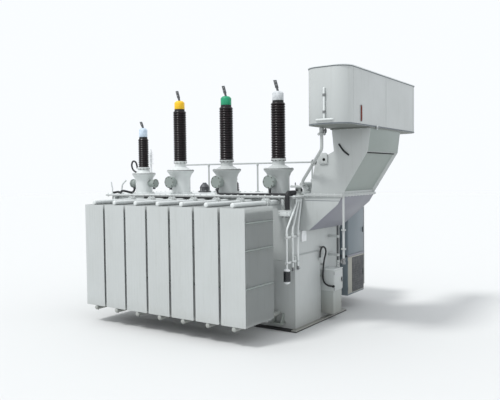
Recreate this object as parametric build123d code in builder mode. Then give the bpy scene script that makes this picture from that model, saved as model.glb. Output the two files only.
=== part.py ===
from build123d import *
from math import atan2, cos, degrees, pi
import os

# Oil-filled power transformer with two banks of plate radiators, a row of high-voltage
# bushings and a sheet-metal conservator on a bracket. Millimetres. The origin is on the
# ground under the middle of the tank, +X runs along the tank to the conservator, +Y across
# it to the far radiator bank and +Z up.

os.makedirs("parts", exist_ok=True)

# Tank: base plate, walls and cover
tank_length = 4800.0
tank_width = 1980.0
tank_height = 2555.0
flange_reach = 110.0
base_thickness = 40.0
cover_thickness = 40.0
seat_gap = 0.3

# Stiffeners: box posts on the long walls, and a shallow box on the end wall
stiffener_width = 160.0
stiffener_depth = 90.0
stiffener_end_gap = 130.0
end_box_width = 1000.0
end_box_depth = 36.0
end_box_height = 1400.0
end_box_bevel = 30.0

# Radiators: plates in the banks, and the header pipes that carry them
radiator_pitch = 570.0
bank_end_gap = 70.0
bank_clear_length = 600.0
bank_gap = 588.0
bank_bottom = 355.0
plate_width = 520.0
plate_thickness = 12.0
plate_pitch = 50.0
plate_count = 19
header_diameter = 90.0
header_drop = 30.0
header_sides = 6
valve_diameter = 180.0
valve_thickness = 90.0
valve_standoff = 115.0

# High-voltage row: turrets on the cover, porcelain, coloured caps and terminals
row_y = -540.0
phase_pitch = 1270.0
phase_centre_x = 555.0
neutral_gap = 1110.0
turret_diameter = 430.0
turret_height = 500.0
turret_flange_diameter = 600.0
turret_flange_thickness = 28.0
turret_foot_reach = 45.0
turret_foot_thickness = 25.0
turret_flare_height = 150.0
turret_sides = 12
neck_height = 190.0
neck_cone_height = 70.0
neck_cone_diameter = 470.0
neck_diameter = 290.0
neck_rim_diameter = 340.0
neck_rim_thickness = 28.0
porcelain_length = 1100.0
shed_diameter = 290.0
shank_diameter = 200.0
shed_pitch = 74.0
shed_sides = 10
cap_diameter = 225.0
cap_height = 227.0
cap_bevel = 40.0
terminal_width = 60.0
terminal_thickness = 24.0
terminal_height = 225.0
terminal_lean = 34.0
neutral_turret_diameter = 380.0
neutral_turret_height = 440.0
neutral_flange_diameter = 540.0
neutral_neck_height = 135.0
neutral_cone_diameter = 380.0
neutral_porcelain_length = 655.0
neutral_shed_diameter = 240.0
neutral_shank_diameter = 165.0
neutral_cap_diameter = 190.0
neutral_cap_height = 250.0
neutral_terminal_height = 150.0

# Current transformer terminal boxes on the turrets
box_diameter = 260.0
box_depth = 120.0
box_height_share = 0.53
box_neck_diameter = 150.0
neutral_box_diameter = 200.0
box_sides = 12

# Slim pale arrester that stands on the neutral turret's flange
arrester_offset = 225.0
arrester_height = 545.0
arrester_stem_diameter = 50.0
arrester_shed_diameter = 140.0
arrester_shed_thickness = 24.0
arrester_shed_gap = 100.0
arrester_shed_count = 3

# Low-voltage bushings on the far side of the cover, and the pressure relief valve
low_voltage_count = 3
low_voltage_pitch = 270.0
low_voltage_x = -292.0
low_voltage_y = 620.0
low_voltage_foot_diameter = 200.0
low_voltage_foot_height = 40.0
low_voltage_shed_diameter = 150.0
low_voltage_shed_height = 190.0
low_voltage_stem_diameter = 50.0
low_voltage_stem_height = 110.0
small_sides = 10
relief_x = -960.0
relief_y = 620.0
relief_foot_diameter = 300.0
relief_foot_height = 45.0
relief_body_diameter = 230.0
relief_body_height = 75.0
relief_dome_diameter = 90.0
relief_dome_height = 110.0

# Tap changer head on the cover, behind the bracket
tap_head_x = 2060.0
tap_head_y = 560.0
tap_flange_diameter = 640.0
tap_flange_thickness = 40.0
tap_drum_diameter = 520.0
tap_drum_height = 150.0
tap_gear_diameter = 200.0
tap_gear_height = 70.0

# Conservator: a long box across the tank's end, its roof, level gauge and small pipes
conservator_standoff = 655.0
conservator_depth = 805.0
conservator_length = 3480.0
conservator_rise = 1230.0
conservator_height = 955.0
conservator_corner = 260.0
roof_thickness = 20.0
roof_reach = 12.0
gauge_y = -1180.0
gauge_width = 30.0
gauge_height = 280.0
gauge_depth = 25.0
gauge_lift = 60.0
end_pipe_diameter = 36.0
end_pipe_gap = 25.0
end_pipe_lift = 80.0
end_pipe_height = 540.0
end_pipe_reach = 165.0
drain_cock_y = -520.0
drain_cock_size = 48.0
drain_cock_drop = 42.0
drain_cock_length = 72.0

# Bracket that carries the conservator: a lower box on the end wall and an upper neck. Reaches
# are measured outwards from the end wall, rises upwards from the cover.
bracket_width = 1486.0
bracket_flange_rise = 10.0
bracket_flange_thickness = 22.0
bracket_flange_reach = 35.0
bracket_cover_gap = 15.0
bracket_foot_drop = 670.0
bracket_toe = 190.0
knee_reach = 800.0
knee_drop = 160.0
rim_reach = 890.0
heel_reach = 250.0
neck_back_reach = 280.0
neck_back_rise = 270.0
shoulder_reach = 340.0
shoulder_rise = 600.0
ledge_reach = 440.0
ledge_rise = 745.0
throat_reach = 580.0
crown_reach = 730.0
crown_rise = 820.0
nose_reach = 1395.0
nose_rise = 800.0
seat_reach = 1450.0
bracket_lug_width = 170.0
bracket_lug_height = 200.0
bracket_lug_thickness = 30.0
bracket_lug_drop = 150.0
bracket_lug_eye = 62.0

# Conservator drain pipe that hangs from the bracket's rim, with its valve
rim_pipe_diameter = 42.0
rim_pipe_inset_x = 10.0
rim_pipe_inset_y = 45.0
rim_pipe_length = 1240.0
rim_flange_diameter = 90.0
rim_flange_thickness = 24.0
rim_flange_drop_shares = (0.52, 0.8)
rim_valve_diameter = 70.0
rim_valve_height = 110.0

# Control cabinet beside the far radiator bank
cabinet_depth = 220.0
cabinet_width = 860.0
cabinet_height = 1875.0
cabinet_bottom = 335.0
cabinet_wall_gap = 50.0
cabinet_bank_gap = 15.0
cabinet_roof_thickness = 25.0
cabinet_roof_reach = 20.0
cabinet_sill_z = 1170.0
cabinet_sill_height = 40.0
cabinet_sill_reach = 20.0
louvre_count = 12
louvre_height = 26.0
louvre_depth = 12.0
louvre_pitch = 50.0
louvre_width = 560.0
louvre_base = 100.0
cabinet_arm_size = 60.0
cabinet_arm_shares = (0.2, 0.8)

# Tap changer's drive box on the end wall, on a narrower pedestal, and its upright shaft
drive_y = 120.0
drive_width = 410.0
drive_depth = 300.0
drive_height = 465.0
drive_bottom = 570.0
pedestal_height = 435.0
pedestal_inset = 14.0
shaft_diameter = 45.0
shaft_reach = 200.0
shaft_inset_y = 380.0
shaft_rest_height = 45.0
shaft_rest_shares = (0.3, 0.75)
shaft_joint_diameter = 80.0
shaft_joint_height = 150.0

# Railing along the far side of the cover
rail_inset = 60.0
rail_height = 690.0
rail_diameter = 40.0
rail_start_gap = 450.0
rail_end_gap = 100.0
first_post_x = -1150.0
post_pitch = 1440.0
post_foot_width = 90.0
post_foot_thickness = 12.0
pipe_sides = 8

# Oil pipe from the conservator down to the gas relay on the cover's corner
oil_pipe_diameter = 60.0
oil_pipe_inset_x = 35.0
oil_pipe_inset_y = 600.0
oil_pipe_bend_rise = 845.0
oil_pipe_foot_rise = 275.0
oil_pipe_radius = 90.0
oil_pipe_sides = 8
oil_flange_diameter = 150.0
oil_flange_thickness = 30.0
oil_flange_drop = 130.0
oil_joint_diameter = 120.0
oil_joint_length = 70.0
oil_joint_share = 0.37
relay_inset_x = 70.0
relay_y = -640.0
relay_lid_length = 270.0
relay_lid_width = 170.0
relay_lid_thickness = 45.0
relay_rise = 195.0
relay_body_diameter = 130.0
relay_foot_diameter = 190.0
relay_foot_thickness = 25.0
relay_pipe_offset = 90.0

# Thin pipes that hang down the end wall: the breather's and two drain pipes. Places along the
# wall are measured from its near corner.
hung_pipe_diameter = 36.0
hung_pipe_standoff = 65.0
hung_pipe_drop = 90.0
hung_pipe_step = 480.0
hung_pipe_radius = 120.0
breather_from = 30.0
breather_outset = -345.0
breather_drop = 1280.0
breather_diameter = 130.0
breather_height = 190.0
breather_cap_height = 45.0
breather_cap_diameter = 100.0
drain_pipe_from = (190.0, 110.0)
drain_pipe_to = (70.0, -130.0)
drain_valve_height = 70.0
drain_valve_diameter = 50.0
pipe_bar_drops = (1185.0, 715.0)
pipe_bar_height = 40.0
pipe_bar_overlap = 30.0
pipe_bar_inner = 140.0

# Black conduits on the cover, from the terminal boxes to a sleeve over the cover's edge
conduit_diameter = 44.0
conduit_step = 330.0
conduit_line_y = -990.0
conduit_spacing = 60.0
conduit_bend_radius = 40.0
edge_conduit_diameter = 28.0
edge_conduit_start = -1300.0
edge_conduit_end = 760.0
sleeve_diameter = 104.0
sleeve_inset_x = 125.0
sleeve_outset_y = 64.0
sleeve_bend_radius = 60.0
gland_box_width = 230.0
gland_box_depth = 230.0
gland_box_shift = 60.0
gland_box_height = 105.0
gland_box_drop = 330.0

# Lifting lugs and jacking pads
lug_height = 200.0
lug_thickness = 50.0
lug_reach = 100.0
lug_drop = 20.0
lug_inset = 165.0
jack_width = 260.0
jack_height = 90.0
jack_depth = 150.0
jack_z = 120.0
jack_inset = 300.0


def save(part, label):
    part.label = label
    export_step(part, f"parts/{label}.step")


def stack(x, y, base_z, levels, sides):
    """Round pieces piled on one upright axis: (lower diameter, upper diameter, height) each."""
    level = base_z
    with BuildPart() as piece:
        for lower, upper, height in levels:
            with BuildSketch(Plane.XY.offset(level)):
                with Locations((x, y)):
                    RegularPolygon(lower / 2, sides, major_radius=False)
            extrude(amount=height, taper=degrees(atan2((lower - upper) / 2, height)))
            level += height
    return piece.part


def pipe_along(path, diameter, sides):
    """A pipe of the given size along a line, with a many-sided section."""
    with BuildPart() as piece:
        with BuildSketch(Plane(path @ 0, z_dir=path % 0)):
            RegularPolygon(
                diameter / 2, sides, major_radius=False, rotation=180 / sides)
        sweep(path=path)
    return piece.part


# Values that follow from the sizes above
wall_x = tank_length / 2
wall_y = tank_width / 2
wall_height = tank_height - base_thickness - cover_thickness
cover_low_z = tank_height - cover_thickness
cover_edge_x = wall_x + flange_reach
cover_edge_y = wall_y + flange_reach
bank_depth = (plate_count - 1) * plate_pitch + plate_thickness
bank_inner_y = wall_y + bank_gap
bank_outer_y = bank_inner_y + bank_depth
bank_top = cover_low_z - header_drop - header_diameter
header_levels = (bank_bottom - header_diameter / 2, bank_top + header_diameter / 2)
radiator_count = int((tank_length - bank_end_gap - bank_clear_length) // radiator_pitch)
last_column = wall_x - bank_end_gap - plate_width / 2
radiator_columns = [
    last_column - (radiator_count - 1 - column) * radiator_pitch
    for column in range(radiator_count)
]
post_room = last_column + wall_x - jack_inset - (radiator_pitch + stiffener_width + jack_width) / 2
stiffener_columns = [
    last_column - (step + 1 / 2) * radiator_pitch
    for step in range(int(post_room // radiator_pitch) + 1)
]
phase_columns = [phase_centre_x + step * phase_pitch for step in (-1, 0, 1)]
neutral_x = phase_columns[0] - neutral_gap
hung_pipe_x = wall_x + hung_pipe_standoff
breather_top = cover_low_z - breather_drop
conservator_x_low = wall_x + conservator_standoff
conservator_base = tank_height + conservator_rise
conservator_near_y = -conservator_length / 2
flange_z = tank_height + bracket_flange_rise

# Tank base: the plate that stands on the ground
with BuildPart() as base:
    with BuildSketch(Plane.XY):
        Rectangle(2 * cover_edge_x, 2 * cover_edge_y)
    extrude(amount=base_thickness)
save(base.part, "tank_base")

# Tank walls
with BuildPart() as tank:
    with BuildSketch(Plane.XY.offset(base_thickness)):
        Rectangle(tank_length, tank_width)
    extrude(amount=wall_height)
save(tank.part, "tank_body")

# Stiffeners: box posts between the radiators, and a shallow box on the end wall
with BuildPart() as stiffeners:
    with BuildSketch(Plane.XY.offset(base_thickness + stiffener_end_gap)):
        post_y = wall_y + stiffener_depth / 2
        with Locations(*[(x, side * post_y) for x in stiffener_columns for side in (-1, 1)]):
            Rectangle(stiffener_width, stiffener_depth)
    extrude(amount=wall_height - 2 * stiffener_end_gap)
    with BuildSketch(Plane.XZ.offset(wall_y)):
        with BuildLine():
            Polyline(
                (wall_x, base_thickness),
                (wall_x + end_box_depth, base_thickness),
                (wall_x + end_box_depth, base_thickness + end_box_height - end_box_bevel),
                (wall_x, base_thickness + end_box_height),
                close=True,
            )
        make_face()
    extrude(amount=-end_box_width)
save(stiffeners.part, "tank_stiffeners")

# Tank cover
with BuildPart() as cover:
    with BuildSketch(Plane.XY.offset(cover_low_z)):
        Rectangle(2 * cover_edge_x, 2 * cover_edge_y)
    extrude(amount=cover_thickness)
save(cover.part, "tank_cover")


def radiator(x, side):
    """The plates of one radiator, at x along its bank, on the side given by the sign."""
    first_y = bank_outer_y - plate_thickness / 2
    with BuildPart() as piece:
        with BuildSketch(Plane.XY.offset(bank_bottom)):
            with Locations(*[(x, side * (first_y - step * plate_pitch))
                             for step in range(plate_count)]):
                Rectangle(plate_width, plate_thickness)
        extrude(amount=bank_top - bank_bottom)
    return piece.part


def radiator_pipes(side):
    """Header pipes over and under the plates of one bank, each with a valve by the tank."""
    plane = Plane((0, side * bank_outer_y, 0), x_dir=(1, 0, 0), z_dir=(0, -side, 0))
    places = [(x, side * z) for x in radiator_columns for z in header_levels]
    with BuildPart() as piece:
        for offset, diameter, length in (
            (0, header_diameter, bank_outer_y - wall_y),
            (bank_depth + valve_standoff, valve_diameter, valve_thickness),
        ):
            with BuildSketch(plane.offset(offset)):
                with Locations(*places):
                    RegularPolygon(
                        diameter / 2, header_sides, major_radius=False,
                        rotation=90 - 180 / header_sides,
                    )
            extrude(amount=length)
    return piece.part


for side, bank in ((-1, "near"), (1, "far")):
    for number, x in enumerate(radiator_columns, start=1):
        save(radiator(x, side), f"radiator_{bank}_{number}")
    save(radiator_pipes(side), f"radiator_valves_{bank}")


# Bushings: every bushing is a turret, a porcelain, a cap and a terminal on one axis
bushings = [
    {
        "name": "neutral",
        "x": neutral_x,
        "turret": (neutral_turret_diameter, neutral_turret_height),
        "flange": neutral_flange_diameter,
        "neck": neutral_neck_height,
        "cone": neutral_cone_diameter,
        "porcelain": neutral_porcelain_length,
        "sheds": (neutral_shed_diameter, neutral_shank_diameter),
        "cap": (neutral_cap_diameter, neutral_cap_height),
        "terminal": neutral_terminal_height,
        "box": neutral_box_diameter,
        "box_turns": (-90, 90),
    }
]
for x, name in zip(phase_columns, ("left", "middle", "right")):
    bushings.append(
        {
            "name": name,
            "x": x,
            "turret": (turret_diameter, turret_height),
            "flange": turret_flange_diameter,
            "neck": neck_height,
            "cone": neck_cone_diameter,
            "porcelain": porcelain_length,
            "sheds": (shed_diameter, shank_diameter),
            "cap": (cap_diameter, cap_height),
            "terminal": terminal_height,
            "box": box_diameter,
            "box_turns": (0,),
        }
    )


def flange_top(bushing):
    return tank_height + bushing["turret"][1] + turret_flange_thickness


def porcelain_base(bushing):
    return flange_top(bushing) + bushing["neck"]


def porcelain_top(bushing):
    return porcelain_base(bushing) + bushing["porcelain"]


# Turrets: foot flange, body that flares to the top flange, and the neck under the porcelain
with BuildPart() as turrets:
    for bushing in bushings:
        diameter, height = bushing["turret"]
        foot = diameter + 2 * turret_foot_reach
        straight = height - turret_foot_thickness - turret_flare_height
        neck_straight = bushing["neck"] - neck_cone_height - neck_rim_thickness
        add(stack(bushing["x"], row_y, tank_height, (
            (foot, foot, turret_foot_thickness),
            (diameter, diameter, straight),
            (diameter, bushing["flange"], turret_flare_height),
            (bushing["flange"], bushing["flange"], turret_flange_thickness),
            (bushing["cone"], neck_diameter, neck_cone_height),
            (neck_diameter, neck_diameter, neck_straight),
            (neck_rim_diameter, neck_rim_diameter, neck_rim_thickness),
        ), turret_sides))
save(turrets.part, "bushing_turrets")

# Round terminal boxes of the current transformers, bolted to the turrets' sides
with BuildPart() as terminal_boxes:
    for bushing in bushings:
        diameter, height = bushing["turret"]
        centre = Vector(bushing["x"], row_y, tank_height + height * box_height_share)
        for turn in bushing["box_turns"]:
            outward = Vector(0, -1, 0).rotate(Axis.Z, turn)
            neck_plane = Plane(centre, z_dir=outward)
            with BuildSketch(neck_plane):
                RegularPolygon(
                    box_neck_diameter / 2, box_sides, major_radius=False)
            extrude(amount=diameter / 2 + box_depth / 2)
            with BuildSketch(neck_plane.offset(diameter / 2 + box_depth / 2)):
                RegularPolygon(
                    bushing["box"] / 2, box_sides, major_radius=False, rotation=180 / box_sides)
            extrude(amount=box_depth)
    add(turrets.part, mode=Mode.SUBTRACT)
save(terminal_boxes.part, "terminal_boxes")

# Porcelain: one cone for each shed, wide at its drooping rim and narrow at the shank
with BuildPart() as porcelain:
    for bushing in bushings:
        outer, shank = bushing["sheds"]
        shed_count = int(bushing["porcelain"] // shed_pitch)
        pitch = bushing["porcelain"] / shed_count
        add(stack(
            bushing["x"], row_y, porcelain_base(bushing),
            [(outer, shank, pitch)] * shed_count, shed_sides,
        ))
save(porcelain.part, "bushing_porcelain")

# Coloured caps with a bevelled top, one for each bushing
for bushing in bushings:
    diameter, height = bushing["cap"]
    cap = stack(bushing["x"], row_y, porcelain_top(bushing), (
        (diameter, diameter, height - cap_bevel),
        (diameter, diameter - 2 * cap_bevel, cap_bevel),
    ), shed_sides)
    save(cap, f"bushing_cap_{bushing['name']}")

# Terminals: a flat bar on each cap that leans to one side
with BuildPart() as terminals:
    for bushing in bushings:
        foot_z = porcelain_top(bushing) + bushing["cap"][1]
        half = terminal_width / 2
        lean = terminal_lean
        with BuildSketch(Plane.XZ.offset(-row_y)):
            with BuildLine():
                Polyline(
                    (bushing["x"] - half, foot_z),
                    (bushing["x"] + half, foot_z),
                    (bushing["x"] + half - 2 * lean, foot_z + bushing["terminal"]),
                    (bushing["x"] - half - 2 * lean, foot_z + bushing["terminal"]),
                    close=True,
                )
            make_face()
        extrude(amount=terminal_thickness / 2, both=True)
save(terminals.part, "bushing_terminals")

# Arrester beside the neutral bushing, on the turret's flange
neutral = bushings[0]
with BuildPart() as arrester:
    foot_z = flange_top(neutral)
    add(stack(
        neutral["x"] + arrester_offset, row_y, foot_z,
        ((arrester_stem_diameter, arrester_stem_diameter, arrester_height),), pipe_sides,
    ))
    for step in range(arrester_shed_count):
        level = foot_z + arrester_height - (step + 1) * arrester_shed_gap
        add(stack(
            neutral["x"] + arrester_offset, row_y, level,
            ((arrester_shed_diameter, arrester_shed_diameter, arrester_shed_thickness),),
            small_sides,
        ))
save(arrester.part, "neutral_arrester")

# Low-voltage bushings: a foot flange, a shed cone and a stem
with BuildPart() as low_voltage:
    for spot in GridLocations(low_voltage_pitch, 0, low_voltage_count, 1):
        add(stack(low_voltage_x + spot.position.X, low_voltage_y, tank_height, (
            (low_voltage_foot_diameter, low_voltage_foot_diameter, low_voltage_foot_height),
            (low_voltage_shed_diameter, low_voltage_stem_diameter, low_voltage_shed_height),
            (low_voltage_stem_diameter, low_voltage_stem_diameter, low_voltage_stem_height),
        ), small_sides))
save(low_voltage.part, "low_voltage_bushings")

# Pressure relief valve on the cover
relief = stack(relief_x, relief_y, tank_height, (
    (relief_foot_diameter, relief_foot_diameter, relief_foot_height),
    (relief_body_diameter, relief_body_diameter, relief_body_height),
    (relief_body_diameter, relief_dome_diameter, relief_dome_height),
), small_sides)
save(relief, "relief_valve")

# Tap changer's head on the cover, with the gear that its shaft drives
tap_head = stack(tap_head_x, tap_head_y, tank_height, (
    (tap_flange_diameter, tap_flange_diameter, tap_flange_thickness),
    (tap_drum_diameter, tap_drum_diameter, tap_drum_height),
    (tap_flange_diameter, tap_flange_diameter, tap_flange_thickness),
    (tap_gear_diameter, tap_gear_diameter, tap_gear_height),
), small_sides)
save(tap_head, "tap_changer_head")

# Conservator box with rounded upright corners, and its roof
conservator_centre_x = conservator_x_low + conservator_depth / 2
with BuildPart() as conservator:
    with BuildSketch(Plane.XY.offset(conservator_base)):
        with Locations((conservator_centre_x, 0)):
            RectangleRounded(conservator_depth, conservator_length, conservator_corner)
    extrude(amount=conservator_height)
save(conservator.part, "conservator_body")

with BuildPart() as roof:
    with BuildSketch(Plane.XY.offset(conservator_base + conservator_height)):
        with Locations((conservator_centre_x, 0)):
            RectangleRounded(
                conservator_depth + 2 * roof_reach,
                conservator_length + 2 * roof_reach,
                conservator_corner + roof_reach,
            )
    extrude(amount=roof_thickness)
save(roof.part, "conservator_roof")

# Level gauge on the conservator's outer face
with BuildPart() as gauge:
    with BuildSketch(Plane.YZ.offset(conservator_x_low + conservator_depth)):
        with Locations((gauge_y, conservator_base + gauge_lift)):
            Rectangle(gauge_width, gauge_height, align=(Align.CENTER, Align.MIN))
    extrude(amount=gauge_depth)
save(gauge.part, "level_gauge")

# Lower half of the bracket: a box on the tank's end wall whose underside slopes outwards
flange_half = bracket_width / 2 + bracket_flange_reach
flange_start_x = cover_edge_x + bracket_cover_gap
flange_length = wall_x + rim_reach + bracket_flange_reach - flange_start_x


def bracket_flange(level):
    """Rectangular flange round the joint between the bracket's halves."""
    with BuildPart() as piece:
        with BuildSketch(Plane.XY.offset(level)):
            with Locations((flange_start_x, -flange_half)):
                Rectangle(flange_length, 2 * flange_half, align=Align.MIN)
        extrude(amount=bracket_flange_thickness)
    return piece.part


with BuildPart() as bracket_lower:
    with BuildSketch(Plane.XZ):
        with BuildLine():
            Polyline(
                (wall_x, tank_height - bracket_foot_drop),
                (wall_x + bracket_toe, tank_height - bracket_foot_drop),
                (wall_x + knee_reach, tank_height - knee_drop),
                (wall_x + rim_reach, flange_z - bracket_flange_thickness),
                (flange_start_x, flange_z - bracket_flange_thickness),
                (flange_start_x, cover_low_z),
                (wall_x, cover_low_z),
                close=True,
            )
        make_face()
    extrude(amount=bracket_width / 2, both=True)
    add(bracket_flange(flange_z - bracket_flange_thickness))
save(bracket_lower.part, "bracket_lower")

# Upper half of the bracket: the neck that leans out to the conservator
with BuildPart() as bracket_upper:
    with BuildSketch(Plane.XZ):
        with BuildLine():
            Polyline(
                (wall_x + heel_reach, flange_z),
                (wall_x + rim_reach, flange_z),
                (wall_x + nose_reach, tank_height + nose_rise),
                (wall_x + seat_reach, conservator_base),
                (conservator_x_low + bracket_flange_reach, conservator_base),
                (wall_x + crown_reach, tank_height + crown_rise),
                (wall_x + throat_reach, tank_height + ledge_rise),
                (wall_x + ledge_reach, tank_height + ledge_rise),
                (wall_x + shoulder_reach, tank_height + shoulder_rise),
                (wall_x + neck_back_reach, tank_height + neck_back_rise),
                close=True,
            )
        make_face()
    extrude(amount=bracket_width / 2, both=True)
    add(bracket_flange(flange_z))
save(bracket_upper.part, "bracket_upper")

# Conservator's small pipes: a cock low on its outer face, a tee on its near end, and the
# drain that hangs from the bracket's rim
end_pipe_z = conservator_base + end_pipe_lift
rim_x = wall_x + rim_reach + bracket_flange_reach - rim_pipe_inset_x
rim_y = rim_pipe_inset_y - flange_half
with BuildPart() as conservator_pipes:
    half_pipe = end_pipe_diameter / 2
    with BuildSketch(Plane.XZ.offset(-conservator_near_y)):
        with Locations((conservator_centre_x, end_pipe_z)):
            Rectangle(2 * end_pipe_reach, end_pipe_diameter)
        with Locations((conservator_centre_x, end_pipe_z)):
            Rectangle(end_pipe_diameter, end_pipe_height, align=(Align.CENTER, Align.MIN))
    extrude(amount=end_pipe_gap + half_pipe)
    rim_low_z = flange_z - bracket_flange_thickness - rim_pipe_length
    add(stack(rim_x, rim_y, rim_low_z, (
        (rim_valve_diameter, rim_valve_diameter, rim_valve_height),
        (rim_pipe_diameter, rim_pipe_diameter, rim_pipe_length - rim_valve_height),
    ), pipe_sides))
    for share in rim_flange_drop_shares:
        add(stack(
            rim_x, rim_y, flange_z - share * rim_pipe_length,
            ((rim_flange_diameter, rim_flange_diameter, rim_flange_thickness),), pipe_sides,
        ))
    with BuildSketch(Plane.XY.offset(conservator_base - drain_cock_drop)):
        with Locations((conservator_x_low + conservator_depth, drain_cock_y)):
            Rectangle(drain_cock_size, drain_cock_size, align=(Align.MIN, Align.CENTER))
    extrude(amount=drain_cock_length)
save(conservator_pipes.part, "conservator_pipes")

# Control cabinet beside the far radiator bank: body, roof lip, sill and louvres
cabinet_x = last_column + plate_width / 2 + cabinet_bank_gap
cabinet_near_y = wall_y + cabinet_wall_gap
with BuildPart() as cabinet:
    for level, reach, height in (
        (cabinet_bottom, 0, cabinet_height),
        (cabinet_bottom + cabinet_height, cabinet_roof_reach, cabinet_roof_thickness),
        (cabinet_sill_z, cabinet_sill_reach, cabinet_sill_height),
    ):
        with BuildSketch(Plane.XY.offset(level)):
            with Locations((cabinet_x, cabinet_near_y)):
                Rectangle(cabinet_depth + reach, cabinet_width, align=Align.MIN)
        extrude(amount=height)
    with BuildSketch(Plane.YZ.offset(cabinet_x + cabinet_depth)):
        with Locations(*[
            (cabinet_near_y + cabinet_width / 2, cabinet_bottom + louvre_base + step * louvre_pitch)
            for step in range(louvre_count)
        ]):
            Rectangle(louvre_width, louvre_height)
    extrude(amount=louvre_depth)
save(cabinet.part, "control_cabinet")

# Arms that hold the cabinet on the tank's long wall
with BuildPart() as cabinet_arms:
    with BuildSketch(Plane.XZ.offset(-wall_y)):
        with Locations(*[
            (cabinet_x, cabinet_bottom + share * cabinet_height) for share in cabinet_arm_shares
        ]):
            Rectangle(wall_x - cabinet_x, cabinet_arm_size, align=(Align.MIN, Align.CENTER))
    extrude(amount=-cabinet_wall_gap)
save(cabinet_arms.part, "cabinet_brackets")

# Tap changer's drive box on its pedestal
with BuildPart() as drive:
    for level, inset, height in (
        (drive_bottom, 0, drive_height),
        (drive_bottom - pedestal_height, pedestal_inset, pedestal_height),
    ):
        with BuildSketch(Plane.XY.offset(level)):
            with Locations((wall_x, drive_y + inset)):
                Rectangle(drive_depth - inset, drive_width - 2 * inset, align=Align.MIN)
        extrude(amount=height)
save(drive.part, "drive_box")

# Upright shaft from the drive box into the bracket, with a joint and two rests on the wall
shaft_x = wall_x + shaft_reach
shaft_y = drive_y + shaft_inset_y
shaft_low = drive_bottom + drive_height
shaft_length = cover_low_z - shaft_low
with BuildPart() as shaft:
    add(stack(shaft_x, shaft_y, shaft_low, (
        (shaft_joint_diameter, shaft_joint_diameter, shaft_joint_height),
        (shaft_diameter, shaft_diameter, shaft_length - shaft_joint_height),
    ), pipe_sides))
    with BuildSketch(Plane.YZ.offset(wall_x)):
        with Locations(*[(shaft_y, shaft_low + share * (tank_height - bracket_foot_drop - shaft_low))
                         for share in shaft_rest_shares]):
            Rectangle(2 * shaft_diameter, shaft_rest_height)
    extrude(amount=shaft_reach)
    add(bracket_lower.part, mode=Mode.SUBTRACT)
save(shaft.part, "drive_shaft")

# Railing on the far edge of the cover: one rail on short posts
rail_y = cover_edge_y - rail_inset
rail_axis_z = tank_height + rail_height - rail_diameter / 2
rail_start_x = rail_start_gap - wall_x
rail_end_x = wall_x - rail_end_gap
post_count = int((rail_end_x - first_post_x) // post_pitch) + 1
post_columns = [first_post_x + step * post_pitch for step in range(post_count)]
with BuildPart() as rail:
    with BuildSketch(Plane.YZ.offset(rail_start_x)):
        with Locations((rail_y, rail_axis_z)):
            RegularPolygon(
                rail_diameter / 2, pipe_sides, major_radius=False, rotation=180 / pipe_sides)
    extrude(amount=rail_end_x - rail_start_x)
save(rail.part, "railing_rail")

with BuildPart() as posts:
    for x in post_columns:
        with BuildSketch(Plane.XY.offset(tank_height)):
            with Locations((x, rail_y)):
                Rectangle(post_foot_width, post_foot_width)
        extrude(amount=post_foot_thickness)
        add(stack(
            x, rail_y, tank_height + post_foot_thickness,
            ((rail_diameter, rail_diameter, rail_axis_z - rail_diameter / 2
              - tank_height - post_foot_thickness),),
            pipe_sides,
        ))
save(posts.part, "railing_posts")

# Gas relay on the cover's corner: foot flange, body and the lid that the oil pipe comes into
relay_x = wall_x - relay_inset_x
lid_z = tank_height + relay_rise - relay_lid_thickness
with BuildPart() as relay:
    add(stack(relay_x, relay_y, tank_height, (
        (relay_foot_diameter, relay_foot_diameter, relay_foot_thickness),
        (relay_body_diameter, relay_body_diameter,
         relay_rise - relay_foot_thickness - relay_lid_thickness),
    ), small_sides))
    with BuildSketch(Plane.XY.offset(lid_z)):
        with Locations((relay_x, relay_y)):
            Rectangle(relay_lid_length, relay_lid_width)
    extrude(amount=relay_lid_thickness)
save(relay.part, "gas_relay")

# Oil pipe: down from the conservator, then sloping in to the relay, all in one upright plane
oil_top = Vector(
    conservator_x_low + oil_pipe_inset_x, conservator_near_y + oil_pipe_inset_y, 0)
oil_foot = Vector(relay_x + relay_pipe_offset, relay_y, 0)
oil_run = oil_foot - oil_top
oil_reach = oil_run.length
oil_bend_z = tank_height + oil_pipe_bend_rise
oil_foot_z = tank_height + oil_pipe_foot_rise
oil_plane = Plane(oil_top, x_dir=oil_run, z_dir=oil_run.cross(Vector(0, 0, 1)))
with BuildPart() as oil_pipe:
    with BuildLine(oil_plane) as oil_path:
        FilletPolyline(
            (0, conservator_base),
            (0, oil_bend_z),
            (oil_reach, oil_foot_z),
            (oil_reach, tank_height + relay_rise),
            radius=oil_pipe_radius,
        )
    add(pipe_along(oil_path.line, oil_pipe_diameter, oil_pipe_sides))
    add(stack(
        oil_top.X, oil_top.Y, conservator_base - oil_flange_drop,
        ((oil_flange_diameter, oil_flange_diameter, oil_flange_thickness),), oil_pipe_sides,
    ))
    slope_start = oil_top + Vector(0, 0, oil_bend_z)
    slope = oil_foot + Vector(0, 0, oil_foot_z) - slope_start
    with BuildSketch(Plane(slope_start + slope * oil_joint_share, z_dir=slope)):
        RegularPolygon(oil_joint_diameter / 2, oil_pipe_sides, major_radius=False)
    extrude(amount=oil_joint_length)
save(oil_pipe.part, "oil_pipe")


def hanging_pipe(from_y, to_y, low_z):
    """A thin pipe down the end wall, from under the cover's edge, stepping out sideways."""
    plane = Plane((hung_pipe_x, 0, 0), x_dir=(0, 1, 0), z_dir=(1, 0, 0))
    with BuildLine(plane) as path:
        FilletPolyline(
            (from_y, cover_low_z),
            (from_y, cover_low_z - hung_pipe_drop),
            (to_y, cover_low_z - hung_pipe_drop - hung_pipe_step),
            (to_y, low_z),
            radius=hung_pipe_radius,
        )
    return pipe_along(path.line, hung_pipe_diameter, pipe_sides)


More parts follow.
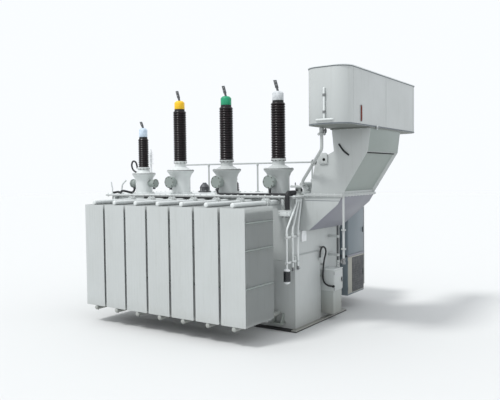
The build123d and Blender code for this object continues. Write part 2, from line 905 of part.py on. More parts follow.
# Breather: its pipe and a glass canister of drying agent between two caps
breather_y = breather_outset - wall_y
breather_pipe = hanging_pipe(breather_from - wall_y, breather_y, breather_top)
save(breather_pipe, "breather_pipe")

with BuildPart() as breather_caps:
    for drop in (breather_cap_height, 2 * breather_cap_height + breather_height):
        add(stack(
            hung_pipe_x, breather_y, breather_top - drop,
            ((breather_cap_diameter, breather_cap_diameter, breather_cap_height),),
            small_sides,
        ))
save(breather_caps.part, "breather_caps")

breather = stack(
    hung_pipe_x, breather_y, breather_top - breather_cap_height - breather_height,
    ((breather_diameter, breather_diameter, breather_height),), small_sides,
)
save(breather, "breather_canister")

# Drain and vent pipes beside it, each ending in a small valve
with BuildPart() as drain_pipes:
    for start, end in zip(drain_pipe_from, drain_pipe_to):
        add(hanging_pipe(start - wall_y, end - wall_y, breather_top))
        add(stack(
            hung_pipe_x, end - wall_y, breather_top - drain_valve_height,
            ((drain_valve_diameter, drain_valve_diameter, drain_valve_height),), pipe_sides,
        ))
save(drain_pipes.part, "drain_pipes")

# Flat bars on the end wall that the thin pipes are clipped to
with BuildPart() as pipe_bars:
    bar_end_y = breather_y - pipe_bar_overlap
    for drop in pipe_bar_drops:
        with BuildSketch(Plane.YZ.offset(wall_x)):
            with Locations((bar_end_y, cover_low_z - drop)):
                Rectangle(
                    pipe_bar_inner - wall_y - bar_end_y, pipe_bar_height,
                    align=(Align.MIN, Align.CENTER),
                )
        extrude(amount=hung_pipe_standoff - hung_pipe_diameter / 2)
    add(stiffeners.part, mode=Mode.SUBTRACT)
save(pipe_bars.part, "pipe_bars")

# Small gland box on the near wall, under the sleeve that brings the black conduits down. The
# pipes lie on the cover by the corners of their many-sided section.
corner_ratio = 1 / cos(pi / pipe_sides)
conduit_z = tank_height + corner_ratio * conduit_diameter / 2 + seat_gap
sleeve_x = cover_edge_x - sleeve_inset_x
sleeve_y = -cover_edge_y - sleeve_outset_y
sleeve_start_y = conduit_line_y + conduit_spacing + conduit_diameter
sleeve_z = tank_height + corner_ratio * sleeve_diameter / 2 + seat_gap
gland_top_z = cover_low_z - gland_box_drop + gland_box_height
with BuildPart() as gland_box:
    with BuildSketch(Plane.XY.offset(gland_top_z - gland_box_height)):
        with Locations((sleeve_x - gland_box_shift, -wall_y)):
            Rectangle(gland_box_width, gland_box_depth, align=(Align.CENTER, Align.MAX))
    extrude(amount=gland_box_height)
save(gland_box.part, "gland_box")

# Black conduits: one from each of two terminal boxes along the cover, the sleeve that takes
# them over its edge to the gland box, and one clipped under the cover's near edge
conduit_rows = [
    (bushing, conduit_line_y + row * conduit_spacing)
    for row, bushing in enumerate(bushings[-2:])
]
with BuildPart() as conduits:
    for bushing, line_y in conduit_rows:
        diameter, height = bushing["turret"]
        start_y = row_y - diameter / 2 - box_depth
        start_z = tank_height + height * box_height_share - bushing["box"] / 2
        with BuildLine() as conduit_path:
            FilletPolyline(
                (bushing["x"], start_y, start_z),
                (bushing["x"], start_y, conduit_z),
                (bushing["x"] + conduit_step, line_y, conduit_z),
                (sleeve_x, line_y, conduit_z),
                radius=conduit_bend_radius,
            )
        add(pipe_along(conduit_path.line, conduit_diameter, pipe_sides))
    with BuildLine(Plane.YZ.offset(sleeve_x)) as sleeve_path:
        FilletPolyline(
            (sleeve_start_y, sleeve_z), (sleeve_y, sleeve_z), (sleeve_y, gland_top_z),
            radius=sleeve_bend_radius,
        )
    add(pipe_along(sleeve_path.line, sleeve_diameter, pipe_sides))
    edge_radius = edge_conduit_diameter / 2
    with BuildSketch(Plane.YZ.offset(edge_conduit_start)):
        with Locations((edge_radius - cover_edge_y, cover_low_z - edge_radius - seat_gap)):
            RegularPolygon(edge_radius, pipe_sides, major_radius=False, rotation=180 / pipe_sides)
    extrude(amount=edge_conduit_end - edge_conduit_start)
save(conduits.part, "control_conduits")

# Lifting lugs near the tank's corners, just under the cover, two with an eye that stand above
# the bracket's ledge, and jacking pads low down
with BuildPart() as lugs:
    with BuildSketch(Plane.XY.offset(cover_low_z - lug_height - lug_drop)):
        lug_x = wall_x - lug_inset
        lug_y = wall_y + lug_reach / 2
        with Locations(*[(x, y) for x in (-lug_x, lug_x) for y in (-lug_y, lug_y)]):
            Rectangle(lug_thickness, lug_reach)
    extrude(amount=lug_height)
    eye_lug_z = tank_height + ledge_rise - bracket_lug_drop
    for lug_near_y in (-bracket_width / 2 - bracket_lug_thickness, bracket_width / 2):
        with BuildSketch(Plane.XZ.offset(-lug_near_y)):
            with Locations((wall_x + ledge_reach, eye_lug_z)):
                Rectangle(bracket_lug_width, bracket_lug_height, align=Align.MIN)
            with Locations((wall_x + ledge_reach + bracket_lug_width * 2 / 3,
                            eye_lug_z + bracket_lug_height * 2 / 3)):
                RegularPolygon(bracket_lug_eye / 2, pipe_sides, mode=Mode.SUBTRACT)
        extrude(amount=-bracket_lug_thickness)
save(lugs.part, "lifting_lugs")

with BuildPart() as jacks:
    with BuildSketch(Plane.XY.offset(jack_z)):
        pad_x = wall_x - jack_inset
        pad_y = wall_y + jack_depth / 2
        with Locations(*[(x, y) for x in (-pad_x, pad_x) for y in (-pad_y, pad_y)]):
            Rectangle(jack_width, jack_depth)
    extrude(amount=jack_height)
save(jacks.part, "jacking_pads")
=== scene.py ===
# %% [markdown]
# # An oil-filled power transformer
# A transformer of this size is a welded steel tank of oil. Radiators cool it on both long
# sides, bushings bring the high voltage in through the cover, and a conservator stands above
# it all, so that the oil can swell when it warms up. The CAD model gives every piece its
# size and place. Here each piece gets the shape of its sheet metal, porcelain, castings and
# bolts, and the finish that goes with it.

# %% The frame
import math

import bmesh
import bpy
from mathutils import Matrix, Vector


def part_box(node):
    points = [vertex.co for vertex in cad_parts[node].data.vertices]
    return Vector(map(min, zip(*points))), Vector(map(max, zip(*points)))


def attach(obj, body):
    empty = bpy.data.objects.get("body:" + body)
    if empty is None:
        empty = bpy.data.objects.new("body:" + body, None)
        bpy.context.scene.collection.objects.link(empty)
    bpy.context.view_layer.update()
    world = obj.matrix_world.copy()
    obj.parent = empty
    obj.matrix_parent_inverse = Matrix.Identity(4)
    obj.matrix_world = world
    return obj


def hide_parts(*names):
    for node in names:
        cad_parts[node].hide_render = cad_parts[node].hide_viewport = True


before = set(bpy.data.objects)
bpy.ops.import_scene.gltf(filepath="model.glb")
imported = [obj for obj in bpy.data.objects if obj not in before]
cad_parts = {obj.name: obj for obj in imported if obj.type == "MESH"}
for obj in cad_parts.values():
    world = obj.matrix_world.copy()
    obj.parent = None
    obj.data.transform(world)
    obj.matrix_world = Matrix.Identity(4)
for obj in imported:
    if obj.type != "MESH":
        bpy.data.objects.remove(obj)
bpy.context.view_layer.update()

# %% [markdown]
# ## Camera
# The camera was fitted to the photograph from the upright edges of the radiators and of the
# conservator. Yaw is turned about Z, tilt is below the horizon and roll is about the line of
# sight. A camera looks along its own -Z, so the three columns of its matrix are its right,
# its up and the line of sight turned round.

# %% Camera
EYE = Vector((8.079, -10.841, 2.967))
YAW = math.radians(33.997)
TILT = math.radians(2.415)
ROLL = math.radians(-0.671)
LENS = 43.67

sight = Vector((-math.sin(YAW) * math.cos(TILT), math.cos(YAW) * math.cos(TILT), -math.sin(TILT)))
level_right = Vector((math.cos(YAW), math.sin(YAW), 0))
level_up = level_right.cross(sight)
right = level_right * math.cos(ROLL) + level_up * math.sin(ROLL)
up = level_up * math.cos(ROLL) - level_right * math.sin(ROLL)

camera_data = bpy.data.cameras.new("camera")
camera_data.lens = LENS
camera = bpy.data.objects.new("camera", camera_data)
bpy.context.scene.collection.objects.link(camera)
camera.matrix_world = Matrix.Translation(EYE) @ Matrix((right, up, -sight)).transposed().to_4x4()
bpy.context.scene.camera = camera

# %% [markdown]
# ## Helpers for modelling
# Blender's modelling operators act on whatever is selected, so a few small helpers keep the
# selection tidy. A round casting is drawn as a potter would: a circle, drawn up and made
# wider or narrower ring by ring. A pipe is a row of points with its corners bevelled, turned
# into a curve and given a thickness. A folded sheet is an outline drawn point by point, then
# extruded.

# %% Selecting, joining and placing


def deselect():
    """Leaves edit mode and selects nothing."""
    if bpy.context.object and bpy.context.object.mode == "EDIT":
        bpy.ops.object.mode_set(mode="OBJECT")
    bpy.ops.object.select_all(action="DESELECT")


def choose(*objects):
    """Selects these objects, the first of them as the active one."""
    deselect()
    for thing in objects:
        thing.select_set(True)
    bpy.context.view_layer.objects.active = objects[0]


def apply_place(thing):
    """Moves an object's own turn, size and place into its mesh."""
    choose(thing)
    bpy.ops.object.transform_apply(location=True, rotation=True, scale=True)
    return thing


def place(thing, where, facing=(0, 0, 1)):
    """Takes a piece that was drawn up the Z axis, turns it to face a direction and moves it."""
    turn = Vector(facing).to_track_quat("Z", "Y").to_matrix().to_4x4()
    thing.matrix_world = Matrix.Translation(where) @ turn
    return apply_place(thing)


def joined(things):
    """Makes one object of several."""
    things = list(things)
    choose(*things)
    if len(things) > 1:
        bpy.ops.object.join()
    return apply_place(bpy.context.object)


def copies(model, places):
    """Copies a model to each place, with a mesh of its own, and joins the copies."""
    made = []
    for matrix in places:
        copy = model.copy()
        copy.data = model.data.copy()
        copy.matrix_world = matrix
        bpy.context.scene.collection.objects.link(copy)
        made.append(copy)
    bpy.data.objects.remove(model)
    return joined(made)


def modified(thing, kind, **settings):
    """Adds a modifier with its settings and applies it."""
    choose(thing)
    modifier = thing.modifiers.new(kind.title(), kind)
    for name, value in settings.items():
        setattr(modifier, name, value)
    bpy.ops.object.modifier_apply(modifier=modifier.name)
    return thing


def pick_faces(test):
    """In edit mode, selects the faces whose centre and normal pass a test."""
    bpy.ops.mesh.select_mode(type="FACE")
    mesh = bmesh.from_edit_mesh(bpy.context.object.data)
    for face in mesh.faces:
        face.select_set(bool(test(face.calc_center_median(), face.normal)))
    bmesh.update_edit_mesh(bpy.context.object.data)


def pick_points(test):
    """In edit mode, selects the points whose place passes a test."""
    bpy.ops.mesh.select_mode(type="VERT")
    mesh = bmesh.from_edit_mesh(bpy.context.object.data)
    for point in mesh.verts:
        point.select_set(bool(test(point.co)))
    mesh.select_flush_mode()
    bmesh.update_edit_mesh(bpy.context.object.data)


def face_outwards():
    """Turns every face of the mesh in hand outwards and leaves edit mode."""
    bpy.ops.mesh.select_all(action="SELECT")
    bpy.ops.mesh.remove_doubles(threshold=0.00001)
    bpy.ops.mesh.normals_make_consistent(inside=False)
    bpy.ops.object.mode_set(mode="OBJECT")
    return bpy.context.object


# %% Round, boxed, folded and piped shapes


def turned(rings, sides=32):
    """Draws a round solid up the Z axis. rings gives (radius, height) from the bottom up."""
    deselect()
    radius, level = rings[0]
    bpy.ops.mesh.primitive_circle_add(
        vertices=sides, radius=radius, fill_type="NGON", location=(0, 0, level))
    apply_place(bpy.context.object)
    bpy.ops.object.mode_set(mode="EDIT")
    bpy.ops.mesh.select_all(action="SELECT")
    for next_radius, next_level in rings[1:]:
        bpy.ops.mesh.extrude_region_move(
            TRANSFORM_OT_translate={"value": (0, 0, next_level - level)})
        grow = next_radius / radius
        bpy.ops.transform.resize(value=(grow, grow, 1), center_override=(0, 0, next_level))
        radius, level = next_radius, next_level
    return face_outwards()


def block(low, high, bevel=0.002, segments=2):
    """A box between two corners, with its edges rounded as folded or machined edges are."""
    low, high = Vector(low), Vector(high)
    deselect()
    bpy.ops.mesh.primitive_cube_add(size=1, location=(low + high) / 2)
    bpy.context.object.scale = high - low
    box = apply_place(bpy.context.object)
    if bevel:
        modified(box, "BEVEL", width=bevel, segments=segments, limit_method="ANGLE")
    return box


def traced(points):
    """A chain of edges through the points, drawn by extruding one vertex. Stays in edit mode."""
    deselect()
    bpy.ops.mesh.primitive_plane_add(size=1)
    bpy.ops.object.mode_set(mode="EDIT")
    bpy.ops.mesh.select_mode(type="VERT")
    bpy.ops.mesh.select_all(action="SELECT")
    bpy.ops.mesh.merge(type="CENTER")
    bpy.ops.transform.translate(value=points[0])
    for start, end in zip(points, points[1:]):
        step = Vector(end) - Vector(start)
        bpy.ops.mesh.extrude_vertices_move(TRANSFORM_OT_translate={"value": step})


def drawn(points, depth, bevel=0.004, segments=2):
    """An outline drawn point by point, filled, and extruded by the vector depth."""
    traced(points)
    bpy.ops.mesh.select_all(action="SELECT")
    bpy.ops.mesh.edge_face_add()
    bpy.ops.mesh.extrude_region_move(TRANSFORM_OT_translate={"value": depth})
    shape = face_outwards()
    if bevel:
        modified(shape, "BEVEL", width=bevel, segments=segments, limit_method="ANGLE")
    return shape


def pipe(points, diameter, bend=0.0, sides=12):
    """A round pipe through the points, its corners bent over the length bend, with closed ends."""
    traced(points)
    if bend:
        ends = (Vector(points[0]), Vector(points[-1]))
        nearest = diameter / 10
        pick_points(lambda spot: min((spot - end).length for end in ends) > nearest)
        bpy.ops.mesh.bevel(
            offset_type="OFFSET", offset=bend, segments=6, affect="VERTICES", profile=0.5)
    bpy.ops.object.mode_set(mode="OBJECT")
    bpy.ops.object.convert(target="CURVE")
    path = bpy.context.object.data
    path.bevel_depth = diameter / 2
    path.bevel_resolution = (sides - 4) // 2
    path.use_fill_caps = True
    bpy.ops.object.convert(target="MESH")
    bpy.ops.object.mode_set(mode="EDIT")
    return face_outwards()


def rod(start, end, diameter, sides=12, bevel=0.0):
    """A straight round bar or stub of pipe between two points."""
    start, end = Vector(start), Vector(end)
    length = (end - start).length
    radius = diameter / 2
    rings = [(radius - bevel, 0), (radius, bevel), (radius, length - bevel), (radius - bevel, length)]
    return place(turned(rings if bevel else [rings[1], rings[2]], sides), start, end - start)


def at(where, facing=(0, 0, 1)):
    """The matrix that puts a model drawn up the Z axis at a place, facing a direction."""
    return Matrix.Translation(where) @ Vector(facing).to_track_quat("Z", "Y").to_matrix().to_4x4()


def ring_places(centre, facing, diameter, count, start_turn=0.0):
    """Places on a circle round a centre, all facing the same way, as a flange's bolts stand."""
    turn = Vector(facing).to_track_quat("Z", "Y")
    found = []
    for step in range(count):
        angle = start_turn + step * math.tau / count
        spoke = turn @ Vector((math.cos(angle), math.sin(angle), 0)) * diameter / 2
        found.append(at(Vector(centre) + spoke, facing))
    return found


def bolts(places, size=0.016):
    """Hexagon heads on washers at each place. size is the thread's diameter."""
    washer = turned([(size * 1.05, 0), (size * 1.05, size * 0.16)], 12)
    head = turned([(size * 0.9, size * 0.16), (size * 0.9, size * 0.7), (size * 0.72, size * 0.8)], 6)
    return copies(joined([washer, head]), places)


# %% [markdown]
# ## Finishes
# Each finish starts from the real coating or material. Colours are sRGB hex values, turned
# to Blender's linear light by one function. One function adds a node with its settings and
# links. All patterns read Object coordinates: the pieces stand at the origin with their
# place in their mesh, so a pattern in metres keeps its real size on every piece.

# %% Colours and nodes


def linear(hex_text):
    """Turns an sRGB hex colour into linear light, with full alpha."""
    channels = [int(hex_text[start:start + 2], 16) / 255 for start in (1, 3, 5)]
    return (*[c / 12.92 if c <= 0.04045 else ((c + 0.055) / 1.055) ** 2.4 for c in channels], 1.0)


def add_node(material, kind, inputs=None, **settings):
    """Adds a node. inputs holds a value or a socket for each input, by name or number."""
    tree = material.node_tree
    node = tree.nodes.new(kind)
    for name, value in settings.items():
        setattr(node, name, value)
    for name, value in (inputs or {}).items():
        if isinstance(value, bpy.types.NodeSocket):
            tree.links.new(value, node.inputs[name])
        else:
            node.inputs[name].default_value = value
    return node


def finish(name, **shader):
    """A new material with its Principled shader and the object's coordinates."""
    material = bpy.data.materials.new(name)
    material.use_nodes = True
    nodes = material.node_tree.nodes
    nodes.clear()
    output = nodes.new("ShaderNodeOutputMaterial")
    principled = add_node(material, "ShaderNodeBsdfPrincipled", shader)
    material.node_tree.links.new(principled.outputs["BSDF"], output.inputs["Surface"])
    places = nodes.new("ShaderNodeTexCoord").outputs["Object"]
    return material, principled, places


def link(material, socket, shader_input):
    """Wires a socket to an input of the shader."""
    material.node_tree.links.new(socket, shader_input)


def noise(material, places, size, detail=3.0, stretch=(1, 1, 1)):
    """Noise whose patches are about size metres across, drawn out along an axis by stretch."""
    scaled = add_node(
        material, "ShaderNodeMapping", {"Vector": places, "Scale": [1 / (size * s) for s in stretch]})
    texture = add_node(
        material, "ShaderNodeTexNoise",
        {"Vector": scaled.outputs["Vector"], "Scale": 1.0, "Detail": detail, "Roughness": 0.55})
    return texture.outputs["Fac"]


def spread(material, value, low, high, to_low=0.0, to_high=1.0):
    """Stretches a band of values over another band and cuts off the rest."""
    node = add_node(material, "ShaderNodeMapRange", {
        "Value": value, "From Min": low, "From Max": high, "To Min": to_low, "To Max": to_high})
    return node.outputs["Result"]


def mixed(material, share, first, second):
    """Mixes two colours by a share."""
    node = add_node(
        material, "ShaderNodeMix", {0: share, 6: first, 7: second}, data_type="RGBA")
    return node.outputs[2]


def grained(material, principled, value, strength, depth):
    """Feeds a pattern to the shader as bumps of a real depth in metres."""
    bump = add_node(
        material, "ShaderNodeBump", {"Height": value, "Strength": strength, "Distance": depth})
    link(material, bump.outputs["Normal"], principled.inputs["Normal"])


# %% [markdown]
# ### Grey enamel
# The tank and all its steel are sprayed with a light grey two-pack enamel. The spray leaves
# a faint orange peel, rain leaves thin pale and dark runs down every wall, and splashed dust
# browns the lowest half metre. The peel is really 2 to 3 mm across and is drawn at 6 mm, as
# it would be too fine to show.

# %% Grey enamel
PEEL = 0.006
RUN_WIDTH = 0.05
RUN_LENGTH = 14.0
PATCH = 0.9
SPLASH_HEIGHT = 0.55


def enamel(name, colour, roughness=0.38, soiling=0.5):
    """Sprayed enamel of a colour, soiled by rain and dust by the given share."""
    material, principled, places = finish(name, Roughness=roughness)
    clean, worn, dust = linear(colour), linear("#8d8f88"), linear("#7b756a")
    patches = noise(material, places, PATCH)
    runs = noise(material, places, RUN_WIDTH, 2.0, (1, 1, RUN_LENGTH))
    shade = mixed(
        material, spread(material, patches, 0.35, 0.7, 0, 0.22 * soiling), clean, worn)
    streaked = mixed(
        material, spread(material, runs, 0.55, 0.78, 0, 0.30 * soiling), shade, worn)
    height = add_node(material, "ShaderNodeSeparateXYZ", {"Vector": places}).outputs["Z"]
    low = spread(material, height, 0.0, SPLASH_HEIGHT, 0.55 * soiling, 0.0)
    splashed = mixed(material, low, streaked, dust)
    link(material, splashed, principled.inputs["Base Color"])
    link(
        material, spread(material, patches, 0.3, 0.7, roughness - 0.06, roughness + 0.10),
        principled.inputs["Roughness"])
    grained(material, principled, noise(material, places, PEEL, 1.0), 0.12, 0.0006)
    return material


GREY = enamel("grey_enamel", "#b6bab9")
# Pale grey paint, also a painted highlight on the cover's lid, the upper header tubes and two turrets.
PALE_AND_HIGHLIGHT = enamel("pale_grey_and_painted_highlight", "#d2d6d5", 0.34, 0.25)
# Weathered grey paint, also painted shade on the lower header tubes and the drive's pedestal.
WEATHERED_AND_SHADED = enamel("weathered_and_shaded_grey_enamel", "#a1a6a3", 0.45, 0.9)
# Darker green-grey paint, also painted shade on the bracket neck's front faces and the radiator ties.
GREEN_GREY_AND_SHADE = enamel("green_grey_and_painted_shade", "#8a938f", 0.50, 0.6)
# Violet-grey paint, also painted shade on the bracket foot's sloped faces and the cabinet's sill.
VIOLET_AND_SHADE = enamel("violet_grey_and_painted_shade", "#868790", 0.50, 0.6)
# Slate grey paint, darker partly as painted shade on the cabinet under the conservator.
SLATE_AND_SHADE = enamel("slate_grey_and_painted_shade", "#6b767d", 0.36, 0.4)
# Painted shade under the conservator and on the bracket's seat below it.
UNDERSIDE_SHADE = enamel("painted_underside_shade", "#6e726e", 0.55, 0.6)
STONE = enamel("stone_grey_enamel", "#a09f95", 0.45, 0.5)

# %% [markdown]
# ### Glazed porcelain
# Bushing porcelain has a chocolate-brown glaze, fired until it is glass. It is nearly black
# away from the highlights. The glaze is thinner and redder where it ran off the sheds' rims; here that is
# drawn as redder patches.

# %% Glazed porcelain
GLAZE_PATCH = 0.05


def glaze():
    """Chocolate-brown stoneware glaze, dulled a little by years of weather."""
    material, principled, places = finish(
        "brown_glaze", Roughness=0.28, **{"Specular IOR Level": 0.28})
    clouds = noise(material, places, GLAZE_PATCH)
    colour = mixed(
        material, spread(material, clouds, 0.4, 0.75), linear("#100d0f"), linear("#24181b"))
    link(material, colour, principled.inputs["Base Color"])
    grained(material, principled, noise(material, places, 0.02, 1.0), 0.05, 0.001)
    return material


GLAZE = glaze()

# %% [markdown]
# ### Caps, metals, rubber and glass
# The caps' colours name the phases. They are painted castings with a dull gloss. Terminals
# are drawn aluminium, bolts are zinc-plated steel, conduits and hoses are chloroprene rubber
# and the breather's canister is clear glass, dark with drying agent.

# %% Small finishes


def mottled(name, colour, other, size, roughness, metallic=0.0, share=0.35, depth=0.0003, **shader):
    """One colour that drifts towards another in patches of a real size, with a fine grain."""
    material, principled, places = finish(name, Metallic=metallic, Roughness=roughness, **shader)
    clouds = noise(material, places, size)
    drift = mixed(
        material, spread(material, clouds, 0.35, 0.72, 0, share), linear(colour), linear(other))
    link(material, drift, principled.inputs["Base Color"])
    link(
        material, spread(material, clouds, 0.3, 0.7, roughness * 0.85, min(1, roughness * 1.25)),
        principled.inputs["Roughness"])
    grained(material, principled, noise(material, places, size / 12, 2.0), 0.15, depth)
    return material


YELLOW = mottled("yellow_cap_paint", "#f2c318", "#c98a10", 0.08, 0.42)
GREEN = mottled("green_cap_paint", "#14996c", "#0c6a4e", 0.08, 0.40)
CAP_GREY = mottled("grey_cap_paint", "#d3d6d8", "#8f9599", 0.06, 0.45, share=0.6)
CAP_BLUE = mottled("light_blue_cap_paint", "#cfdeec", "#94a7b9", 0.06, 0.42, share=0.5)
WORN_METAL = mottled("weathered_aluminium", "#5f6163", "#47474a", 0.03, 0.50, metallic=0.8)
METAL = mottled("drawn_aluminium", "#8e9091", "#6d6c6a", 0.03, 0.38, metallic=1.0)
ZINC = mottled("zinc_plated_steel", "#b9bcbb", "#8b8880", 0.02, 0.42, metallic=0.9)
RUBBER = mottled("chloroprene_rubber", "#17181a", "#35373a", 0.05, 0.55)
CORK = mottled("cork_and_rubber_gasket", "#3a3733", "#5a544b", 0.02, 0.85)
WHITE = mottled("white_moulded_nylon", "#e6e8e9", "#c9cccc", 0.08, 0.40)
GEL = mottled("drying_agent", "#0f0f13", "#2b262c", 0.006, 0.5, share=0.9)
GAUGE_RED = mottled("red_gauge_tube", "#6e2e26", "#a2523f", 0.05, 0.25, share=0.5)
# Near-black parts, and painted shade in the louvres' mouths, the tall lugs' eyes and under the bracket's
# inset face.
DARK_AND_SHADE = mottled("near_black_and_painted_shade", "#1d1f20", "#2b2d2e", 0.05, 0.7)
BASE_BLACK = mottled("near_black_base", "#1c1d1f", "#35352f", 0.12, 0.7, share=0.5)
# Dark joint grey, also painted shade under the roof's edge, round the conservator's foot and in the
# bracket's folds.
JOINT_AND_SHADE_GREY = mottled("dark_joint_and_painted_shade", "#6a7075", "#565b60", 0.06, 0.7)
# Dark grey louvre paint, partly painted shade among the louvres.
LOUVRE_GREY_AND_SHADE = mottled("dark_grey_louvre_and_painted_shade", "#434547", "#323334", 0.10, 0.5)


def clear_glass():
    """Borosilicate glass of the breather's canister."""
    material, principled, places = finish(
        "clear_glass", Roughness=0.05, IOR=1.47,
        **{"Transmission Weight": 0.85, "Base Color": linear("#5b6064")})
    grained(material, principled, noise(material, places, 0.05, 1.0), 0.03, 0.001)
    return material


GLASS = clear_glass()

# %% [markdown]
# ## Finishing a piece
# Every piece is joined, named, smoothed where its faces meet at a shallow angle, and given
# to the frame. A piece that stands for CAD nodes hides them.

# %% Finishing
made = []
SMOOTH_ANGLE = math.radians(32)


def painted(thing, material):
    """Gives a shape its one finish."""
    thing.data.materials.clear()
    thing.data.materials.append(material)
    return thing


def coated(material, *shapes):
    """Gives several shapes the same finish and lists them."""
    return [painted(shape, material) for shape in shapes]


def piece(name, parts, *nodes, slot="grey_paint"):
    """Joins parts that already have their finish, and hands the piece to the frame."""
    whole = joined(parts)
    whole.name = name
    whole.data.name = name
    bpy.ops.object.shade_smooth_by_angle(angle=SMOOTH_ANGLE)
    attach(whole, "root")
    if nodes:
        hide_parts(*nodes)
    made.append(whole)
    faces = sum(len(face.vertices) - 2 for face in whole.data.polygons)
    print(f"{name}: {faces} triangles")
    return whole


# %% [markdown]
# ## Places and edges
# The CAD nodes' boxes give the levels and columns that the pieces stand on. No real edge is
# sharp, so each one gets the radius that its making leaves, from a bent sheet down to a thin
# strip.

# %% Places and edges
cover_low, cover_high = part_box("tank_cover")
tank_low, tank_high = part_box("tank_body")
base_low, base_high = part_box("tank_base")
COVER, UNDER = cover_high.z, cover_low.z
WALL_X, WALL_Y = tank_high.x, tank_high.y
BRACKET_HALF = 0.743
SIDES = (-1, 1)
UP, DOWN, NEAR = (0, 0, 1), (0, 0, -1), (0, -1, 0)
BENT, CAST, DRESSED, SAWN, THIN, FINE = 0.006, 0.005, 0.004, 0.003, 0.002, 0.001
print("cover at", round(COVER, 3), "walls at", round(WALL_X, 3), round(WALL_Y, 3))


def middle(node):
    """The middle of a node's box."""
    low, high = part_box(node)
    return (low + high) / 2


def moved(shape, x, y, z):
    """Moves a shape that was drawn at the origin to its place."""
    shape.location = (x, y, z)
    return apply_place(shape)


def upright(x, y, low, high, diameter, sides=12, bevel=0.0):
    """A rod that stands upright between two levels."""
    return rod((x, y, low), (x, y, high), diameter, sides, bevel)


# %% [markdown]
# ## Tank, base and cover
# The tank is folded and welded plate. Its corners are welded from outside, so a bead runs
# down each one. The cover lies on a flange with a cork gasket between, and a bolt every 160
# mm holds them together: that row of bolts says at once that this lid can be lifted off.

# %% Tank walls with their welds
BEAD, FINE_BEAD = 0.012, 0.010
SEAM_SHARE = 0.52


def bead(start, end, size=BEAD):
    """A bead of weld between two points."""
    return rod(start, end, size, 8)


def tank():
    """The walls, a bead of weld down each corner and one round the seam of the plates."""
    seam_z = tank_low.z + (tank_high.z - tank_low.z) * SEAM_SHARE
    corners = [(-WALL_X, -WALL_Y), (WALL_X, -WALL_Y), (WALL_X, WALL_Y), (-WALL_X, WALL_Y)]
    beads = [bead((*corner, tank_low.z), (*corner, tank_high.z)) for corner in corners]
    beads += [bead((*start, seam_z), (*end, seam_z))
              for start, end in zip(corners, corners[1:] + corners[:1])]
    walls = block(tank_low, tank_high, BENT, 3)
    return piece("tank_walls", coated(GREY, walls, *beads), "tank_body")


tank()

# %% Base plate
TREAD, BASE_TOP, BLACK_TOP_DROP = 0.006, 0.022, 0.001


def base():
    """The plate, near black but grey on top beyond the end wall, and the fillet weld round the walls."""
    step_z = base_high.z - BASE_TOP
    # The plate is near black along its edges and on top, except beyond the end wall.
    edge = block(base_low, (base_high.x, base_high.y, step_z), CAST)
    black_top = block((base_low.x, base_low.y, step_z),
                   (WALL_X, base_high.y, base_high.z - BLACK_TOP_DROP), SAWN)
    bare = block((WALL_X, base_low.y + TREAD, step_z), base_high, SAWN)
    skirt = block((-WALL_X - TREAD, -WALL_Y - TREAD, base_high.z - TREAD),
                  (WALL_X + TREAD, WALL_Y + TREAD, base_high.z + TREAD), SAWN)
    return piece("base_plate", [
        *coated(BASE_BLACK, edge, black_top), painted(bare, WEATHERED_AND_SHADED), painted(skirt, GREY)], "tank_base")


base()

# %% Cover, gasket and flange
GASKET, COVER_PLATE = 0.006, 0.020
BOLT_PITCH, BOLT_INSET, NO_BOLT_REACH, COVER_BOLT = 0.16, 0.045, 0.075, 0.020
SLEEVE_X = cover_high.x - 0.125
POST_COLUMNS = (-1.150, 0.290, 1.730)
BRACKET_EDGES = (-0.760, 0.760)


def edge_places():
    """Places round the cover's edge, clear of the sleeve, the railing's feet and the bracket."""
    x_row, y_row = cover_high.x - BOLT_INSET, cover_high.y - BOLT_INSET
    x_count, y_count = round(2 * x_row / BOLT_PITCH), round(2 * y_row / BOLT_PITCH)
    spots = [(-x_row + step * 2 * x_row / x_count, side * y_row)
             for side in SIDES for step in range(x_count + 1)]
    spots += [(side * x_row, -y_row + step * 2 * y_row / y_count)
              for side in SIDES for step in range(1, y_count)]
    blocked = [Vector((SLEEVE_X, -y_row))] + [Vector((x, y_row)) for x in POST_COLUMNS]
    blocked += [Vector((x_row, y)) for y in BRACKET_EDGES]
    return [s for s in spots if min((Vector(s) - b).length for b in blocked) > NO_BOLT_REACH]


def cover():
    """The cover plate, the gasket and the tank's flange, clamped by a row of bolts."""
    cork_z = COVER - COVER_PLATE
    rim_z = cork_z - GASKET
    # The lid is painted paler than the flange under it: a painted highlight on the cover's top.
    lid = block((cover_low.x, cover_low.y, cork_z), cover_high, DRESSED)
    cork = block((cover_low.x + GASKET, cover_low.y + GASKET, rim_z),
                 (cover_high.x - GASKET, cover_high.y - GASKET, cork_z), 0)
    rim = block(cover_low, (cover_high.x, cover_high.y, rim_z), SAWN)
    spots = edge_places()
    heads = bolts([at((x, y, COVER)) for x, y in spots], COVER_BOLT)
    nuts = bolts([at((x, y, UNDER), DOWN) for x, y in spots], COVER_BOLT)
    print(len(spots), "bolts round the cover")
    return piece("cover_plate", [
        *coated(PALE_AND_HIGHLIGHT, lid, heads), painted(cork, CORK), *coated(GREY, rim, nuts)], "tank_cover")


cover()

# %% [markdown]
# ## Radiators
# A radiator plate is two thin sheets, pressed with upright oil channels and seam-welded round
# the rim and between the channels. One sheet is made from a grid: the columns that are
# channels are moved out, the border is extruded to the rim, and Mirror makes the second
# sheet. An Array then makes the row of plates that hangs on the header pipes.

# %% One radiator
CHANNELS, CHANNEL_COLUMNS = 7, 4
RIM, RUN_OUT = 0.018, 0.07
CREST, SHOULDER, SEAM = 0.0045, 0.0034, 0.0015
PLATE_PITCH, PLATES = 0.050, 19
TIE_SHARES = (0.32, 0.64, 0.87)
TIE_HEIGHT, TIE_PROUD, TIE_SUNK = 0.022, 0.0035, 0.004


